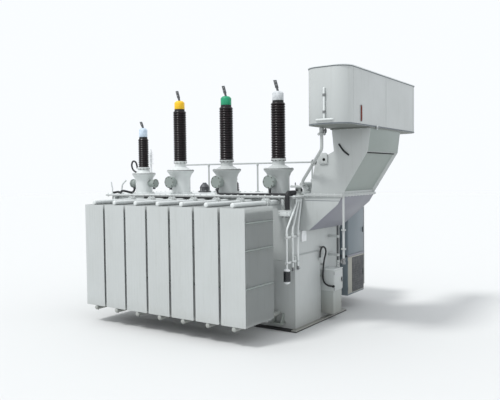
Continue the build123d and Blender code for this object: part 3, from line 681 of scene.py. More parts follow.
def plate(width, height):
    """One pressed plate, upright, with its middle at the origin."""
    deselect()
    columns = CHANNELS * CHANNEL_COLUMNS
    bpy.ops.mesh.primitive_grid_add(
        x_subdivisions=columns, y_subdivisions=3, size=1, rotation=(math.pi / 2, 0, 0))
    sheet = bpy.context.object
    inner_width, inner_height = width - 2 * RIM, height - 2 * RIM
    sheet.scale = (inner_width, inner_height, 1)
    apply_place(sheet)
    step = inner_width / columns
    bpy.ops.object.mode_set(mode="EDIT")
    for side in SIDES:
        pick_points(lambda p: 0 < side * p.z < inner_height / 3)
        bpy.ops.transform.translate(value=(0, 0, side * (inner_height / 3 - RUN_OUT)))

    def press(reach, lines):
        pick_points(lambda p: abs(p.z) < inner_height / 2 - RIM
                    and round((p.x + inner_width / 2) / step) % CHANNEL_COLUMNS in lines)
        bpy.ops.transform.translate(value=(0, -reach, 0))

    press(CREST, (2,))
    press(SHOULDER, (1, 3))
    bpy.ops.mesh.select_all(action="SELECT")
    bpy.ops.transform.translate(value=(0, -SEAM, 0))
    bpy.ops.mesh.region_to_loop()
    bpy.ops.mesh.extrude_region_move(TRANSFORM_OT_translate={"value": (0, SEAM, 0)})
    bpy.ops.transform.resize(
        value=(width / inner_width, 1, height / inner_height), center_override=(0, 0, 0))
    bpy.ops.object.mode_set(mode="OBJECT")
    modified(sheet, "MIRROR", use_axis=(False, True, False), merge_threshold=0.0001)
    bpy.ops.object.mode_set(mode="EDIT")
    return face_outwards()


def radiator(node):
    """The row of plates of one radiator, with the flat bars that tie their edges."""
    low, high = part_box(node)
    rows = plate(high.x - low.x, high.z - low.z)
    modified(rows, "ARRAY", count=PLATES, use_relative_offset=False, use_constant_offset=True,
             constant_offset_displace=(0, PLATE_PITCH, 0))
    first_y = (low.y + high.y - (PLATES - 1) * PLATE_PITCH) / 2
    parts = [painted(moved(rows, (low.x + high.x) / 2, first_y, (low.z + high.z) / 2), GREY)]
    for level in (low.z + share * (high.z - low.z) for share in TIE_SHARES):
        for x, side in ((low.x, -1), (high.x, 1)):
            start, end = sorted((x - side * TIE_SUNK, x + side * TIE_PROUD))
            # The ties are painted darker, as painted shade, so that they don't show as bright lines.
            parts.append(painted(block(
                (start, low.y + PLATE_PITCH / 4, level),
                (end, high.y - PLATE_PITCH / 4, level + TIE_HEIGHT), FINE, 1), GREEN_GREY_AND_SHADE))
    return piece(f"{node}_plates", parts, node)


radiators = [name for name in sorted(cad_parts)
             if name.startswith("radiator_") and "valve" not in name]
for name in radiators:
    radiator(name)

# %% [markdown]
# ## Header pipes and radiator valves
# Each radiator hangs on two header pipes. Between them and the tank there is a butterfly
# valve, so that one radiator can be taken off without draining the tank. The outer end of a
# header is closed by a domed cap. The lower headers also carry a drain plug.

# %% Header pipes
HEADER, VALVE, VALVE_BODY = 0.090, 0.180, 0.150
VALVE_FROM_WALL, VALVE_FLANGE_STEP, HANDLE = 0.428, 0.035, 0.065


def flange(centre, facing, diameter, thickness, bolt_count, bolt_size, bolt_paint, sides=24):
    """A pair of pipe flanges face to face, with a gasket line and bolts right through."""
    facing = Vector(facing).normalized()
    edge, half, seam = diameter / 2, thickness / 2, thickness * 0.06
    discs = place(turned([
        (edge - seam, -half), (edge, seam - half), (edge, -seam), (edge - 2 * seam, -seam),
        (edge - 2 * seam, seam), (edge, seam), (edge, half - seam), (edge - seam, half)], sides),
        centre, facing)
    circle = diameter - 3.2 * bolt_size
    heads = bolts([spot for way in (facing, -facing)
                   for spot in ring_places(Vector(centre) + way * half, way, circle, bolt_count)],
                  bolt_size)
    return [painted(discs, GREY), painted(heads, bolt_paint)]


def header(reach, lower):
    """One header drawn up the Z axis from its cap, with its valve and flanges at the far end."""
    radius, casing = HEADER / 2, VALVE_BODY / 2
    z = reach - VALVE_FROM_WALL
    tube = turned([
        (radius * 0.35, 0), (radius * 0.75, 0.005), (radius * 0.95, 0.014), (radius, 0.026),
        (radius, reach)], 20)
    body = turned([(casing - 0.01, z - 0.028), (casing, z - 0.02), (casing, z + 0.02),
                   (casing - 0.01, z + 0.028)], 20)
    lever = block((-0.008, casing + 0.014, z - 0.01), (HANDLE, casing + 0.022, z + 0.01), THIN)
    stem = rod((0, casing - 0.01, z), (0, casing + 0.028, z), 0.022, 10)
    # The lower tube is painted darker, as painted shade, and the upper one paler, as a painted highlight.
    parts = [painted(tube, WEATHERED_AND_SHADED if lower else PALE_AND_HIGHLIGHT), *coated(GREY, body, lever), painted(stem, METAL)]
    for offset in (-VALVE_FLANGE_STEP, VALVE_FLANGE_STEP):
        parts += flange((0, 0, z + offset), UP, VALVE, 0.020, 6, 0.012, PALE_AND_HIGHLIGHT, 20)
    if lower:
        parts.append(painted(bolts([at((0, -radius, 0.06), NEAR)], 0.014), METAL))
    return joined(parts)


def headers(bank):
    """All header pipes of one bank."""
    node = f"radiator_valves_{bank}"
    low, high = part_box(node)
    side, outer_y = (-1, low.y) if bank == "near" else (1, high.y)
    columns = [middle(name).x for name in radiators if bank in name]
    bank_low, bank_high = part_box(f"radiator_{bank}_1")
    lying = Matrix(((side, 0, 0), (0, 0, -side), (0, 1, 0))).to_4x4()
    parts = [
        copies(header(abs(outer_y) - WALL_Y, lower),
               [Matrix.Translation((x, outer_y, level)) @ lying for x in columns])
        for level, lower in ((bank_low.z - HEADER / 2, True), (bank_high.z + HEADER / 2, False))]
    return piece(f"header_pipes_{bank}", parts, node)


for bank in ("near", "far"):
    headers(bank)

# %% [markdown]
# ## Stiffeners, lugs and jacking pads
# A thin tank wall would bulge under the oil's weight. Channels folded from plate are welded
# on, with their ends cut at a slope so that water runs off. Each is an outline drawn on its
# side and extruded by its width. The lugs get their eyes by a Boolean with a round bar.

# %% Posts and the end box
POST_WIDTH, POST_DEPTH, POST_END_GAP, POST_EDGE = 0.160, 0.090, 0.130, 0.008
RADIATOR_PITCH = 0.57
END_BOX_TOP, END_BOX_FACE, END_BOX_SLOPE, END_BOX_WIDTH = 1.440, 0.036, 0.030, 1.0


def stiffeners():
    """Folded channels up both long walls, and the shallow box on the end wall."""
    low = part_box("tank_stiffeners")[0].z
    foot, top = low + POST_END_GAP, UNDER - POST_END_GAP
    parts = []
    for side in SIDES:
        wall, crest = side * WALL_Y, side * (WALL_Y + POST_DEPTH)
        for step in range(len(radiators) // 2):
            start = middle("radiator_near_7").x - (step + 0.5) * RADIATOR_PITCH - POST_WIDTH / 2
            parts.append(drawn([
                (start, wall, foot), (start, crest, foot + POST_DEPTH),
                (start, crest, top - POST_DEPTH), (start, wall, top)], (POST_WIDTH, 0, 0), POST_EDGE))
    face, shoulder = WALL_X + END_BOX_FACE, END_BOX_TOP - END_BOX_SLOPE
    parts.append(drawn([
        (WALL_X, -WALL_Y, low), (face, -WALL_Y, low), (face, -WALL_Y, shoulder),
        (WALL_X, -WALL_Y, END_BOX_TOP)], (0, END_BOX_WIDTH, 0), CAST))
    parts += [bead((face, y, low), (face, y, shoulder), FINE_BEAD) for y in (-WALL_Y + 0.004, 0.006)]
    return piece("wall_stiffeners", coated(GREY, *parts), "tank_stiffeners")


stiffeners()

# %% Holes, lugs and pads
LUG_COLUMN, LUG_THICKNESS, LUG_REACH, LUG_EYE_REACH = 2.235, 0.050, 0.100, 0.055
LUG_FOOT, LUG_KNEE, LUG_TOP = 2.295, 2.385, 2.495
LUG_EYE_Z, LUG_EYE, TALL_LUG_EYE = 2.420, 0.050, 0.062
TALL_LUG = ((2.840, 3.150), (3.010, 3.150), (3.010, 3.320), (2.975, 3.350), (2.900, 3.350),
            (2.840, 3.270))
TALL_EYE_X, TALL_EYE_Z = 2.940, 3.225
PAD_COLUMN, PAD_HALF, PAD_OUT, PAD_LOW, PAD_TOP = 2.1, 0.13, 1.140, 0.120, 0.145
GUSSET, GUSSET_TOP = 0.020, 0.320


def holed(thing, start, end, diameter):
    """Cuts a round hole from start to end."""
    cutter = rod(start, end, diameter, 20)
    modified(thing, "BOOLEAN", object=cutter, operation="DIFFERENCE", solver="EXACT")
    bpy.data.objects.remove(cutter)
    return thing


def lifting_lugs():
    """Four lugs under the cover and two tall ones beside the bracket, each with its eye."""
    parts = []
    for x in (-LUG_COLUMN, LUG_COLUMN):
        for side in SIDES:
            start = x - LUG_THICKNESS / 2
            wall, eye_y, tip = (side * (WALL_Y + reach) for reach in (0, LUG_EYE_REACH, LUG_REACH))
            lug = drawn([
                (start, wall, LUG_FOOT), (start, eye_y, LUG_FOOT + 0.015), (start, tip, LUG_KNEE),
                (start, tip, LUG_TOP), (start, wall, LUG_TOP)], (LUG_THICKNESS, 0, 0))
            parts.append(painted(holed(
                lug, (x - 0.06, eye_y, LUG_EYE_Z), (x + 0.06, eye_y, LUG_EYE_Z), LUG_EYE), GREY))
    for side in SIDES:
        lug = drawn([(x, side * BRACKET_HALF, z) for x, z in TALL_LUG], (0, side * 0.030, 0))
        back, skin, shade, face, front = (
            (TALL_EYE_X, side * BRACKET_HALF + side * reach, TALL_EYE_Z)
            for reach in (-0.05, 0.001, 0.003, 0.004, 0.06))
        parts.append(painted(holed(lug, back, front, TALL_LUG_EYE), GREY))
        # A dark disc in each tall eye is painted shade in the hole.
        parts.append(painted(rod(skin, shade, TALL_LUG_EYE - THIN), DARK_AND_SHADE))
        parts.append(painted(bead((2.845, face[1], 3.155), (3.005, face[1], 3.155), FINE_BEAD), GREY))
    return piece("lifting_eyes", parts, "lifting_lugs")


def pads():
    """Jacking pads with the two gussets that carry each of them."""
    parts = []
    for x in (-PAD_COLUMN, PAD_COLUMN):
        for side in SIDES:
            wall, lip = side * WALL_Y, side * (PAD_OUT - 0.010)
            near, far = sorted((wall, side * PAD_OUT))
            parts.append(block((x - PAD_HALF, near, PAD_LOW), (x + PAD_HALF, far, PAD_TOP), SAWN))
            for start in (x - 0.10, x + 0.08):
                parts.append(drawn([
                    (start, wall, PAD_TOP), (start, lip, PAD_TOP), (start, lip, PAD_TOP + GUSSET),
                    (start, side * 1.030, GUSSET_TOP), (start, wall, GUSSET_TOP)],
                    (GUSSET, 0, 0), THIN))
    # The pads and gussets are painted darker than the walls.
    return piece("jacking_seats", coated(GREEN_GREY_AND_SHADE, *parts), "jacking_pads")


lifting_lugs()
pads()

# %% [markdown]
# ## Bushings
# A high-voltage bushing is a condenser core inside a porcelain, standing on a turret that
# holds the current transformers. Porcelain sheds droop like stacked umbrellas to keep a dry
# path when it rains, so each shed is drawn in full, with its undercut. Every part is turned
# ring by ring, and bolts hold every flange.

# %% Measures of the four bushings
TALL = {"cap_radius": 0.1125, "turret": 0.215, "height": 0.500, "flange": 0.300, "neck": 0.190,
        "cone": 0.235, "sheds": 22, "tip": 0.145, "shank": 0.126, "terminal": 0.225, "box": 0.130}
SHORT = {"cap_radius": 0.095, "turret": 0.190, "height": 0.440, "flange": 0.270, "neck": 0.135,
         "cone": 0.190, "sheds": 13, "tip": 0.120, "shank": 0.102, "terminal": 0.150, "box": 0.100}
FLANGE_RIM, FOOT_RIM = 0.028, 0.025
ROW_Y = middle("bushing_porcelain").y
BUSHINGS = []
# The first two turrets are painted paler, partly as a painted highlight.
for name, sizes, paint, cap_paint, cap_slot in (
        ("neutral", SHORT, PALE_AND_HIGHLIGHT, CAP_BLUE, "cap_light_blue"), ("left", TALL, PALE_AND_HIGHLIGHT, YELLOW, "cap_yellow"),
        ("middle", TALL, GREY, GREEN, "cap_green"), ("right", TALL, GREY, CAP_GREY, "cap_pale_grey")):
    cap_low, cap_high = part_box(f"bushing_cap_{name}")
    BUSHINGS.append({
        **sizes, "name": name, "x": (cap_low.x + cap_high.x) / 2, "cap": (cap_low.z, cap_high.z),
        "paint": paint, "cap_paint": cap_paint, "cap_slot": cap_slot})
print([(row["name"], round(row["x"], 3)) for row in BUSHINGS])

# %% Turrets


def turret(row):
    """Foot flange, can, flared top flange and neck of one bushing, with their bolts."""
    can, top, edge, cone = row["turret"], row["height"], row["flange"], row["cone"]
    crest = top + FLANGE_RIM
    neck = crest + row["neck"]
    shape = turned([
        (can + 0.043, 0), (can + 0.045, 0.002), (can + 0.045, 0.022), (can + 0.043, FOOT_RIM),
        (can + 0.008, FOOT_RIM), (can, 0.033), (can, top * 0.48), (can + 0.003, top * 0.48 + 0.003),
        (can, top * 0.48 + 0.006), (can, top - 0.150), (can + 0.030, top - 0.070),
        (edge - 0.004, top - 0.008), (edge, top - 0.004), (edge, top + 0.006),
        (edge - 0.012, top + 0.007), (edge - 0.012, top + 0.017), (edge, top + 0.018),
        (edge, top + 0.026), (edge - 0.002, crest), (cone, crest), (cone - 0.006, top + 0.036),
        (0.136, top + 0.092), (0.128, top + 0.100), (0.124, neck - 0.034), (0.148, neck - 0.030),
        (0.150, neck - 0.028), (0.150, neck - 0.002), (0.148, neck)], 40)
    cork = turned([(edge - 0.004, top + 0.007), (edge - 0.004, top + 0.017)], 40)
    foot_bolts = bolts(ring_places((0, 0, FOOT_RIM), UP, 2 * can + 0.050, 12), 0.014)
    top_bolts = bolts(ring_places((0, 0, crest), UP, 2 * edge - 0.055, 16, 0.1), 0.016)
    neck_bolts = bolts(ring_places((0, 0, neck - 0.030), DOWN, 0.272, 10, 0.2), 0.016)
    whole = joined([painted(shape, row["paint"]), *coated(PALE_AND_HIGHLIGHT, foot_bolts, top_bolts),
                    *coated(CORK, cork, neck_bolts)])
    return moved(whole, row["x"], ROW_Y, COVER)


piece("turrets", [turret(row) for row in BUSHINGS], "bushing_turrets")

# %% Terminal boxes on the turrets
BOX_HEIGHT_SHARE = 0.53


def terminal_box(row, facing):
    """A round box on a short neck, with its bolted lid and the cable gland below."""
    out = Vector(facing)
    centre = Vector((row["x"], ROW_Y, COVER + row["height"] * BOX_HEIGHT_SHARE))
    radius, disc = row["box"], row["turret"] + 0.060
    body = place(turned([
        (0.075, row["turret"] - 0.012), (0.075, disc - 0.012), (radius - 0.025, disc - 0.012),
        (radius - 0.015, disc), (radius - 0.015, disc + 0.084), (radius - 0.003, disc + 0.086),
        (radius, disc + 0.089), (radius, disc + 0.114), (radius - 0.006, disc + 0.120)], 32),
        centre, facing)
    heads = bolts(ring_places(centre + out * (disc + 0.120), facing, 2 * radius - 0.036, 8), 0.011)
    belly = centre + out * (disc + 0.060)
    gland = rod(belly - Vector((0, 0, radius - 0.02)), belly - Vector((0, 0, radius + 0.035)),
                0.062, 8, SAWN)
    return [painted(body, GREEN_GREY_AND_SHADE), painted(heads, CORK), painted(gland, WORN_METAL)]


boxes = []
for row in BUSHINGS:
    for facing in ((-1, 0, 0), (1, 0, 0)) if row["name"] == "neutral" else (NEAR,):
        boxes += terminal_box(row, facing)
piece("turret_terminal_boxes", boxes, "terminal_boxes")

# %% Porcelains


def porcelain(row):
    """The sheds of one bushing, each with a drooping tip and a dished underside."""
    low = COVER + row["height"] + FLANGE_RIM + row["neck"]
    count, tip, shank = row["sheds"], row["tip"], row["shank"]
    pitch = (row["cap"][0] - low) / count
    rings = [(shank - 0.020, 0), (shank - 0.020, 0.008)]
    for step in range(count):
        rings += [(radius, (step + share) * pitch) for radius, share in (
            (shank, 0.30), (tip - 0.008, 0.12), (tip - 0.001, 0.14), (tip, 0.24),
            (tip - 0.001, 0.46), (tip - 0.008, 0.64), (shank + 0.003, 0.92))]
    rings.append((shank, count * pitch))
    return painted(moved(turned(rings, 32), row["x"], ROW_Y, low), GLAZE)


piece("porcelain_sheds", [porcelain(row) for row in BUSHINGS], "bushing_porcelain", slot="brown_glaze")

# %% Caps and terminals
BAND = 0.045
PALM_HALF, PALM_THICKNESS, PALM_LEAN = 0.036, 0.016, 0.068


def cap(row):
    """A coloured head over the metal band that clamps the porcelain."""
    low, high = row["cap"]
    radius, height = row["cap_radius"], high - low
    band = turned([(radius - 0.004, 0), (radius - 0.001, 0.003), (radius - 0.001, BAND - 0.003),
                   (radius - 0.004, BAND)], 32)
    clamps = bolts(ring_places((0, 0, BAND * 0.5), UP, 2 * radius - 0.01, 6), 0.010)
    head = turned([
        (radius - 0.010, BAND), (radius - 0.002, BAND), (radius, BAND + 0.004),
        (radius, height - 0.046), (radius - 0.008, height - 0.030),
        (radius - 0.036, height - 0.004), (radius - 0.050, height)], 32)
    whole = joined([painted(band, DARK_AND_SHADE), painted(clamps, WORN_METAL), painted(head, row["cap_paint"])])
    return moved(whole, row["x"], ROW_Y, low)


def terminal(row):
    """The stem and the flat palm that leans away, with its two clamp bolts."""
    foot, rise, x = row["cap"][1], row["terminal"], row["x"]

    def leaning(share, across=0.0):
        return x - PALM_LEAN * share + across, foot + rise * share

    stem_x, stem_z = leaning(0.34)
    stem = rod((x, ROW_Y, foot), (stem_x, ROW_Y, stem_z), 0.046, 20, SAWN)
    corners = (leaning(0.28, -PALM_HALF), leaning(0.28, PALM_HALF), leaning(1, PALM_HALF),
               leaning(1, -PALM_HALF))
    face = ROW_Y - PALM_THICKNESS / 2
    palm = drawn([(a, face, z) for a, z in corners], (0, PALM_THICKNESS, 0), SAWN)
    heads = bolts([at((leaning(share)[0], ROW_Y - side * PALM_THICKNESS / 2, leaning(share)[1]),
                      (0, -side, 0)) for share in (0.55, 0.82) for side in SIDES], 0.011)
    return [*coated(WORN_METAL, stem, palm), painted(heads, ZINC)]


for row in BUSHINGS:
    piece(f"cap_{row['name']}", [cap(row)], f"bushing_cap_{row['name']}", slot=row["cap_slot"])
piece("terminal_palms", [part for row in BUSHINGS for part in terminal(row)], "bushing_terminals",
      slot="bare_metal")

# %% Arrester on the neutral turret
ARRESTER_CORE, WIDE_SHED, NARROW_SHED = 0.024, 0.068, 0.046


def arrester():
    """A slim rod with three wide sheds and three narrow ones between them."""
    low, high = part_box("neutral_arrester")
    height = high.z - low.z
    rings = [(ARRESTER_CORE, 0), (ARRESTER_CORE, height - 0.345)]
    for step in range(6):
        level = height - 0.325 + step * 0.050
        reach = WIDE_SHED if step % 2 == 0 else NARROW_SHED
        rings += [(ARRESTER_CORE, level), (reach, level - 0.004), (reach, level + 0.004),
                  (ARRESTER_CORE + 0.002, level + 0.016)]
    rings += [(ARRESTER_CORE, height - 0.030), (0.018, height - 0.028), (0.018, height)]
    x = middle("neutral_arrester").x
    stem = moved(turned(rings, 20), x, ROW_Y, low.z)
    foot = moved(turned([(0.045, 0), (0.045, 0.012), (0.030, 0.016)], 6), x, ROW_Y, low.z)
    return piece("arrester_rod", [painted(stem, WHITE), painted(foot, ZINC)], "neutral_arrester",
                 slot="white_plastic")


arrester()

# %% [markdown]
# ## Fittings on the cover
# Behind the high-voltage row stand the low-voltage bushings, the pressure relief valve, which
# opens if gas builds up in the tank, and the head of the tap changer.

# %% Low-voltage bushings, relief valve and tap changer's head
SMALL_BOLT = 0.012
LOW_FLANGE, LOW_FLANGE_TOP = 0.100, 0.024
LOW_SHEDS = ((0.052, 0.074), (0.096, 0.066), (0.140, 0.058), (0.184, 0.050))
TAP_HEAD, TAP_BOLT_CIRCLE = 0.320, 0.590


def standing(rings, x, y, material, sides=28):
    """A round casting on the cover."""
    return painted(moved(turned(rings, sides), x, y, COVER), material)


def low_voltage():
    """Three bushings in a row, each on a bolted flange and with a threaded stem."""
    low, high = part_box("low_voltage_bushings")
    y = (low.y + high.y) / 2
    step = (high.x - low.x - 2 * LOW_FLANGE) / 2
    parts = []
    for x in (low.x + LOW_FLANGE + n * step for n in range(3)):
        parts.append(standing([
            (0.098, 0), (LOW_FLANGE, 0.002), (LOW_FLANGE, 0.022), (0.098, LOW_FLANGE_TOP),
            (0.062, LOW_FLANGE_TOP), (0.056, 0.040)], x, y, GREY))
        parts.append(painted(bolts(
            ring_places((x, y, COVER + LOW_FLANGE_TOP), UP, 0.166, 8), SMALL_BOLT), PALE_AND_HIGHLIGHT))
        rings = [(0.050, 0.038), (0.050, 0.044)]
        for level, tip in LOW_SHEDS:
            rings += [(0.040, level + 0.010), (tip - 0.004, level), (tip, level + 0.006),
                      (0.044, level + 0.026)]
        parts.append(standing(rings + [(0.034, 0.226), (0.030, 0.230)], x, y, GLAZE))
        parts.append(standing([
            (0.026, 0.228), (0.026, 0.244), (0.015, 0.246), (0.015, 0.296), (0.024, 0.298),
            (0.024, 0.316), (0.015, 0.318), (0.015, 0.338), (0.012, 0.340)], x, y, METAL, 16))
    return piece("low_voltage_row", parts, "low_voltage_bushings", slot="brown_glaze")


def relief_valve():
    """A round casting with a stepped hood, and three springs round its waist."""
    x, y, _ = middle("relief_valve")
    casting = standing([
        (0.148, 0), (0.150, 0.003), (0.150, 0.026), (0.148, 0.028), (0.120, 0.028), (0.112, 0.045),
        (0.112, 0.112), (0.116, 0.116), (0.116, 0.126), (0.108, 0.132), (0.080, 0.178),
        (0.050, 0.204), (0.045, 0.222), (0.040, 0.228)], x, y, WORN_METAL)
    heads = bolts(ring_places((x, y, COVER + 0.028), UP, 0.266, 8), SMALL_BOLT)
    springs = [standing([(0.006, 0.045), (0.006, 0.112)], x + 0.122 * math.cos(turn),
                        y + 0.122 * math.sin(turn), ZINC, 8) for turn in (0.5, 2.6, 4.7)]
    return piece("relief_valve_casting", [casting, painted(heads, PALE_AND_HIGHLIGHT), *springs], "relief_valve")


def tap_head():
    """The head of the tap changer: two wide bolted flanges, a dome and three pipe stubs."""
    x, y, _ = middle("tap_changer_head")
    parts = [standing([
        (0.316, 0), (TAP_HEAD, 0.004), (TAP_HEAD, 0.036), (0.316, 0.040), (0.266, 0.040),
        (0.260, 0.046), (0.260, 0.186), (0.318, 0.190), (TAP_HEAD, 0.192), (TAP_HEAD, 0.226),
        (0.314, 0.230), (0.250, 0.236), (0.102, 0.238), (0.100, 0.242), (0.100, 0.290),
        (0.090, 0.300)], x, y, GREY, 40)]
    for level in (0.040, 0.230):
        parts.append(painted(bolts(
            ring_places((x, y, COVER + level), UP, TAP_BOLT_CIRCLE, 20), 0.014), PALE_AND_HIGHLIGHT))
    for turn in (0.4, 2.5, 4.6):
        out = Vector((math.cos(turn), math.sin(turn), 0))
        start = Vector((x, y, COVER + 0.110)) + out * 0.27
        parts.append(painted(rod(start - out * 0.02, start + out * 0.035, 0.070, 20, SAWN), GREY))
    return piece("tap_changer_casting", parts, "tap_changer_head")


low_voltage()
relief_valve()
tap_head()

# %% [markdown]
# ## Conservator
# The conservator is a welded sheet box with generously rounded ends. It is started as a plain
# box: its four upright edges are bevelled with a large radius. Thin cover strips show where
# the bent ends meet the flat sheets, and the roof overhangs a dark joint that also carries
# painted shadow. The underside and a ring round the foot are painted shade.

# %% Rounded boxes and faces with painted shade


def rounded_box(low, high, radius, edge=0.0):
    """A box whose upright edges have a large radius and whose rims have a small one."""
    box = block(low, high, 0)
    choose(box)
    bpy.ops.object.mode_set(mode="EDIT")
    bpy.ops.mesh.select_mode(type="EDGE")
    mesh = bmesh.from_edit_mesh(box.data)
    for line in mesh.edges:
        along = line.verts[1].co - line.verts[0].co
        line.select_set(abs(along.z) > abs(along.x) + abs(along.y))
    bmesh.update_edit_mesh(box.data)
    bpy.ops.mesh.bevel(offset=radius, segments=12, affect="EDGES")
    box = face_outwards()
    if edge:
        modified(box, "BEVEL", width=edge, segments=2, limit_method="ANGLE",
                 angle_limit=math.radians(50))
    return box


def refinished(thing, material, test, inset=0.0, depth=0.0):
    """Gives the faces that pass a test another material, here painted shade, and sets them back if asked.
    """
    thing.data.materials.append(material)
    choose(thing)
    bpy.ops.object.mode_set(mode="EDIT")
    pick_faces(test)
    if depth:
        bpy.ops.mesh.inset(thickness=inset, depth=-depth)
    thing.active_material_index = len(thing.data.materials) - 1
    bpy.ops.object.material_slot_assign()
    bpy.ops.object.mode_set(mode="OBJECT")
    return thing


# %% Conservator, roof and gauge
shell_low, shell_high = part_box("conservator_body")
roof_low, roof_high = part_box("conservator_roof")
CORNER, STRIP, STRIP_HALF, JOINT = 0.260, 0.003, 0.016, 0.008
ROOF_CORNER, JOINT_PROUD = CORNER + 0.012, 0.004
STRIP_COLUMNS = (shell_low.y + CORNER + 0.02, shell_high.y - CORNER - 0.02, -0.02)


def conservator():
    """The shell with its bent ends, painted shade under it and round its foot, and the strips over its
    seams.
    """
    shell = painted(rounded_box(shell_low, shell_high, CORNER, BENT), GREY)
    # The underside is painted darker: painted shade under the conservator.
    refinished(shell, UNDERSIDE_SHADE, lambda centre, normal: normal.z < -0.9)
    strips = [block((shell_low.x - STRIP, y - STRIP_HALF, shell_low.z + 0.03),
                    (shell_high.x + STRIP, y + STRIP_HALF, shell_high.z - 0.02), FINE, 1)
              for y in STRIP_COLUMNS]
    # The dark ring round the foot is painted shade along the shell's lower edge.
    foot = rounded_box((shell_low.x - STRIP, shell_low.y - STRIP, shell_low.z + 0.004),
                       (shell_high.x + STRIP, shell_high.y + STRIP, shell_low.z + 0.024),
                       CORNER + STRIP)
    return piece("conservator_shell", [shell, *coated(GREY, *strips), painted(foot, JOINT_AND_SHADE_GREY)],
                 "conservator_body")


def roof():
    """The roof plate over its dark joint, which also carries painted shadow under the roof's edge."""
    sheet = rounded_box((roof_low.x, roof_low.y, roof_low.z + JOINT / 2), roof_high, ROOF_CORNER, SAWN)
    # The joint is a dark joint line and also painted shadow under the roof's overhang.
    joint = rounded_box(
        (shell_low.x - JOINT_PROUD, shell_low.y - JOINT_PROUD, roof_low.z - JOINT),
        (shell_high.x + JOINT_PROUD, shell_high.y + JOINT_PROUD, roof_low.z + JOINT / 2),
        CORNER + JOINT_PROUD)
    return piece("conservator_lid", [painted(sheet, PALE_AND_HIGHLIGHT), painted(joint, JOINT_AND_SHADE_GREY)],
                 "conservator_roof")


def gauge():
    """The level gauge: a glass tube with red oil between two fittings, behind guard strips."""
    low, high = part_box("level_gauge")
    x, y = (low.x + high.x) / 2, (low.y + high.y) / 2
    fittings = [block((low.x, y - 0.012, z), (high.x, y + 0.012, z + 0.028), THIN)
                for z in (low.z, high.z - 0.028)]
    guards = [block((low.x + 0.004, y + side * 0.012 - 0.0015, low.z + 0.010),
                    (high.x - 0.004, y + side * 0.012 + 0.0015, high.z - 0.010), 0.0005, 1)
              for side in SIDES]
    tube = upright(x, y, low.z + 0.02, high.z - 0.02, 0.014, 16)
    return piece("gauge_tube", coated(GAUGE_RED, tube, *guards) + coated(METAL, *fittings),
                 "level_gauge", slot="gauge_red")


conservator()
roof()
gauge()

# %% Conservator's small pipes
TEE_Y, TEE_HALF, TEE_PIPE = shell_low.y - 0.025, 0.148, 0.034
TEE_LOW, TEE_HIGH = shell_low.z + 0.080, shell_low.z + 0.602
COCK_X, COCK_Y = shell_high.x + 0.024, -0.520
RIM_X, RIM_Y, RIM_TOP, RIM_PIPE = 3.315, -0.733, 2.543, 0.042
RIM_FLANGES = (1.932, 1.585)


def handwheel(centre, facing, diameter=0.09):
    """A small cast wheel on a short spindle."""
    out = Vector(facing)
    radius = diameter / 2
    wheel = turned([(radius * 0.6, 0), (radius, 0.002), (radius, 0.010), (radius * 0.6, 0.012),
                    (radius * 0.3, 0.006), (radius * 0.2, 0.020), (radius * 0.1, 0.022)], 20)
    return coated(METAL, place(wheel, Vector(centre) + out * 0.03, out),
                  rod(centre, Vector(centre) + out * 0.032, 0.012, 10))


def small_pipes():
    """The tee on the near end, the cock low on the outer face and the drain from the rim."""
    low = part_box("conservator_pipes")[0].z
    x, inside = (shell_low.x + shell_high.x) / 2, shell_low.y + 0.004
    cross, stem = (pipe(points, TEE_PIPE, 0.02) for points in (
        [(x - TEE_HALF, inside, TEE_LOW), (x - TEE_HALF, TEE_Y, TEE_LOW),
         (x + TEE_HALF, TEE_Y, TEE_LOW), (x + TEE_HALF, inside, TEE_LOW)],
        [(x, TEE_Y, TEE_LOW), (x, TEE_Y, TEE_HIGH), (x, inside, TEE_HIGH)]))
    unions = [upright(x, TEE_Y, z, z + 0.045, 0.052, 8, DRESSED)
              for z in (TEE_LOW + 0.10, TEE_LOW + 0.38)]
    cock = upright(COCK_X, COCK_Y, 3.746, 3.812, 0.030, 12, SAWN)
    cock_stub = rod((shell_high.x - 0.01, COCK_Y, 3.800), (COCK_X, COCK_Y, 3.800), 0.026)
    cock_nut = upright(COCK_X, COCK_Y, 3.760, 3.776, 0.044, 6, THIN)
    drain = upright(RIM_X, RIM_Y, low + 0.09, RIM_TOP, RIM_PIPE, 20)
    valve = moved(turned([
        (0.028, 0), (0.035, 0.006), (0.035, 0.040), (0.026, 0.050), (0.026, 0.070), (0.034, 0.078),
        (0.034, 0.104), (0.026, 0.110)], 20), RIM_X, RIM_Y, low)
    parts = coated(PALE_AND_HIGHLIGHT, cross, stem, cock) + coated(GREY, cock_stub, drain)
    parts += coated(METAL, *unions, cock_nut, valve)
    for z in RIM_FLANGES:
        parts += flange((RIM_X, RIM_Y, z), UP, 0.090, 0.024, 4, 0.008, METAL)
    parts += handwheel((RIM_X, RIM_Y - 0.03, low + 0.06), NEAR, 0.08)
    return piece("conservator_fittings", parts, "conservator_pipes")


small_pipes()

# %% [markdown]
# ## Leaning bracket
# The conservator stands away from the tank on a folded sheet neck in two halves, bolted
# together at a flange level with the cover. On the slope of the upper half, the side sheets
# stand proud of the front sheet, which is welded in between them: that face is inset and
# pushed back. All the front faces are painted darker, as painted shade.

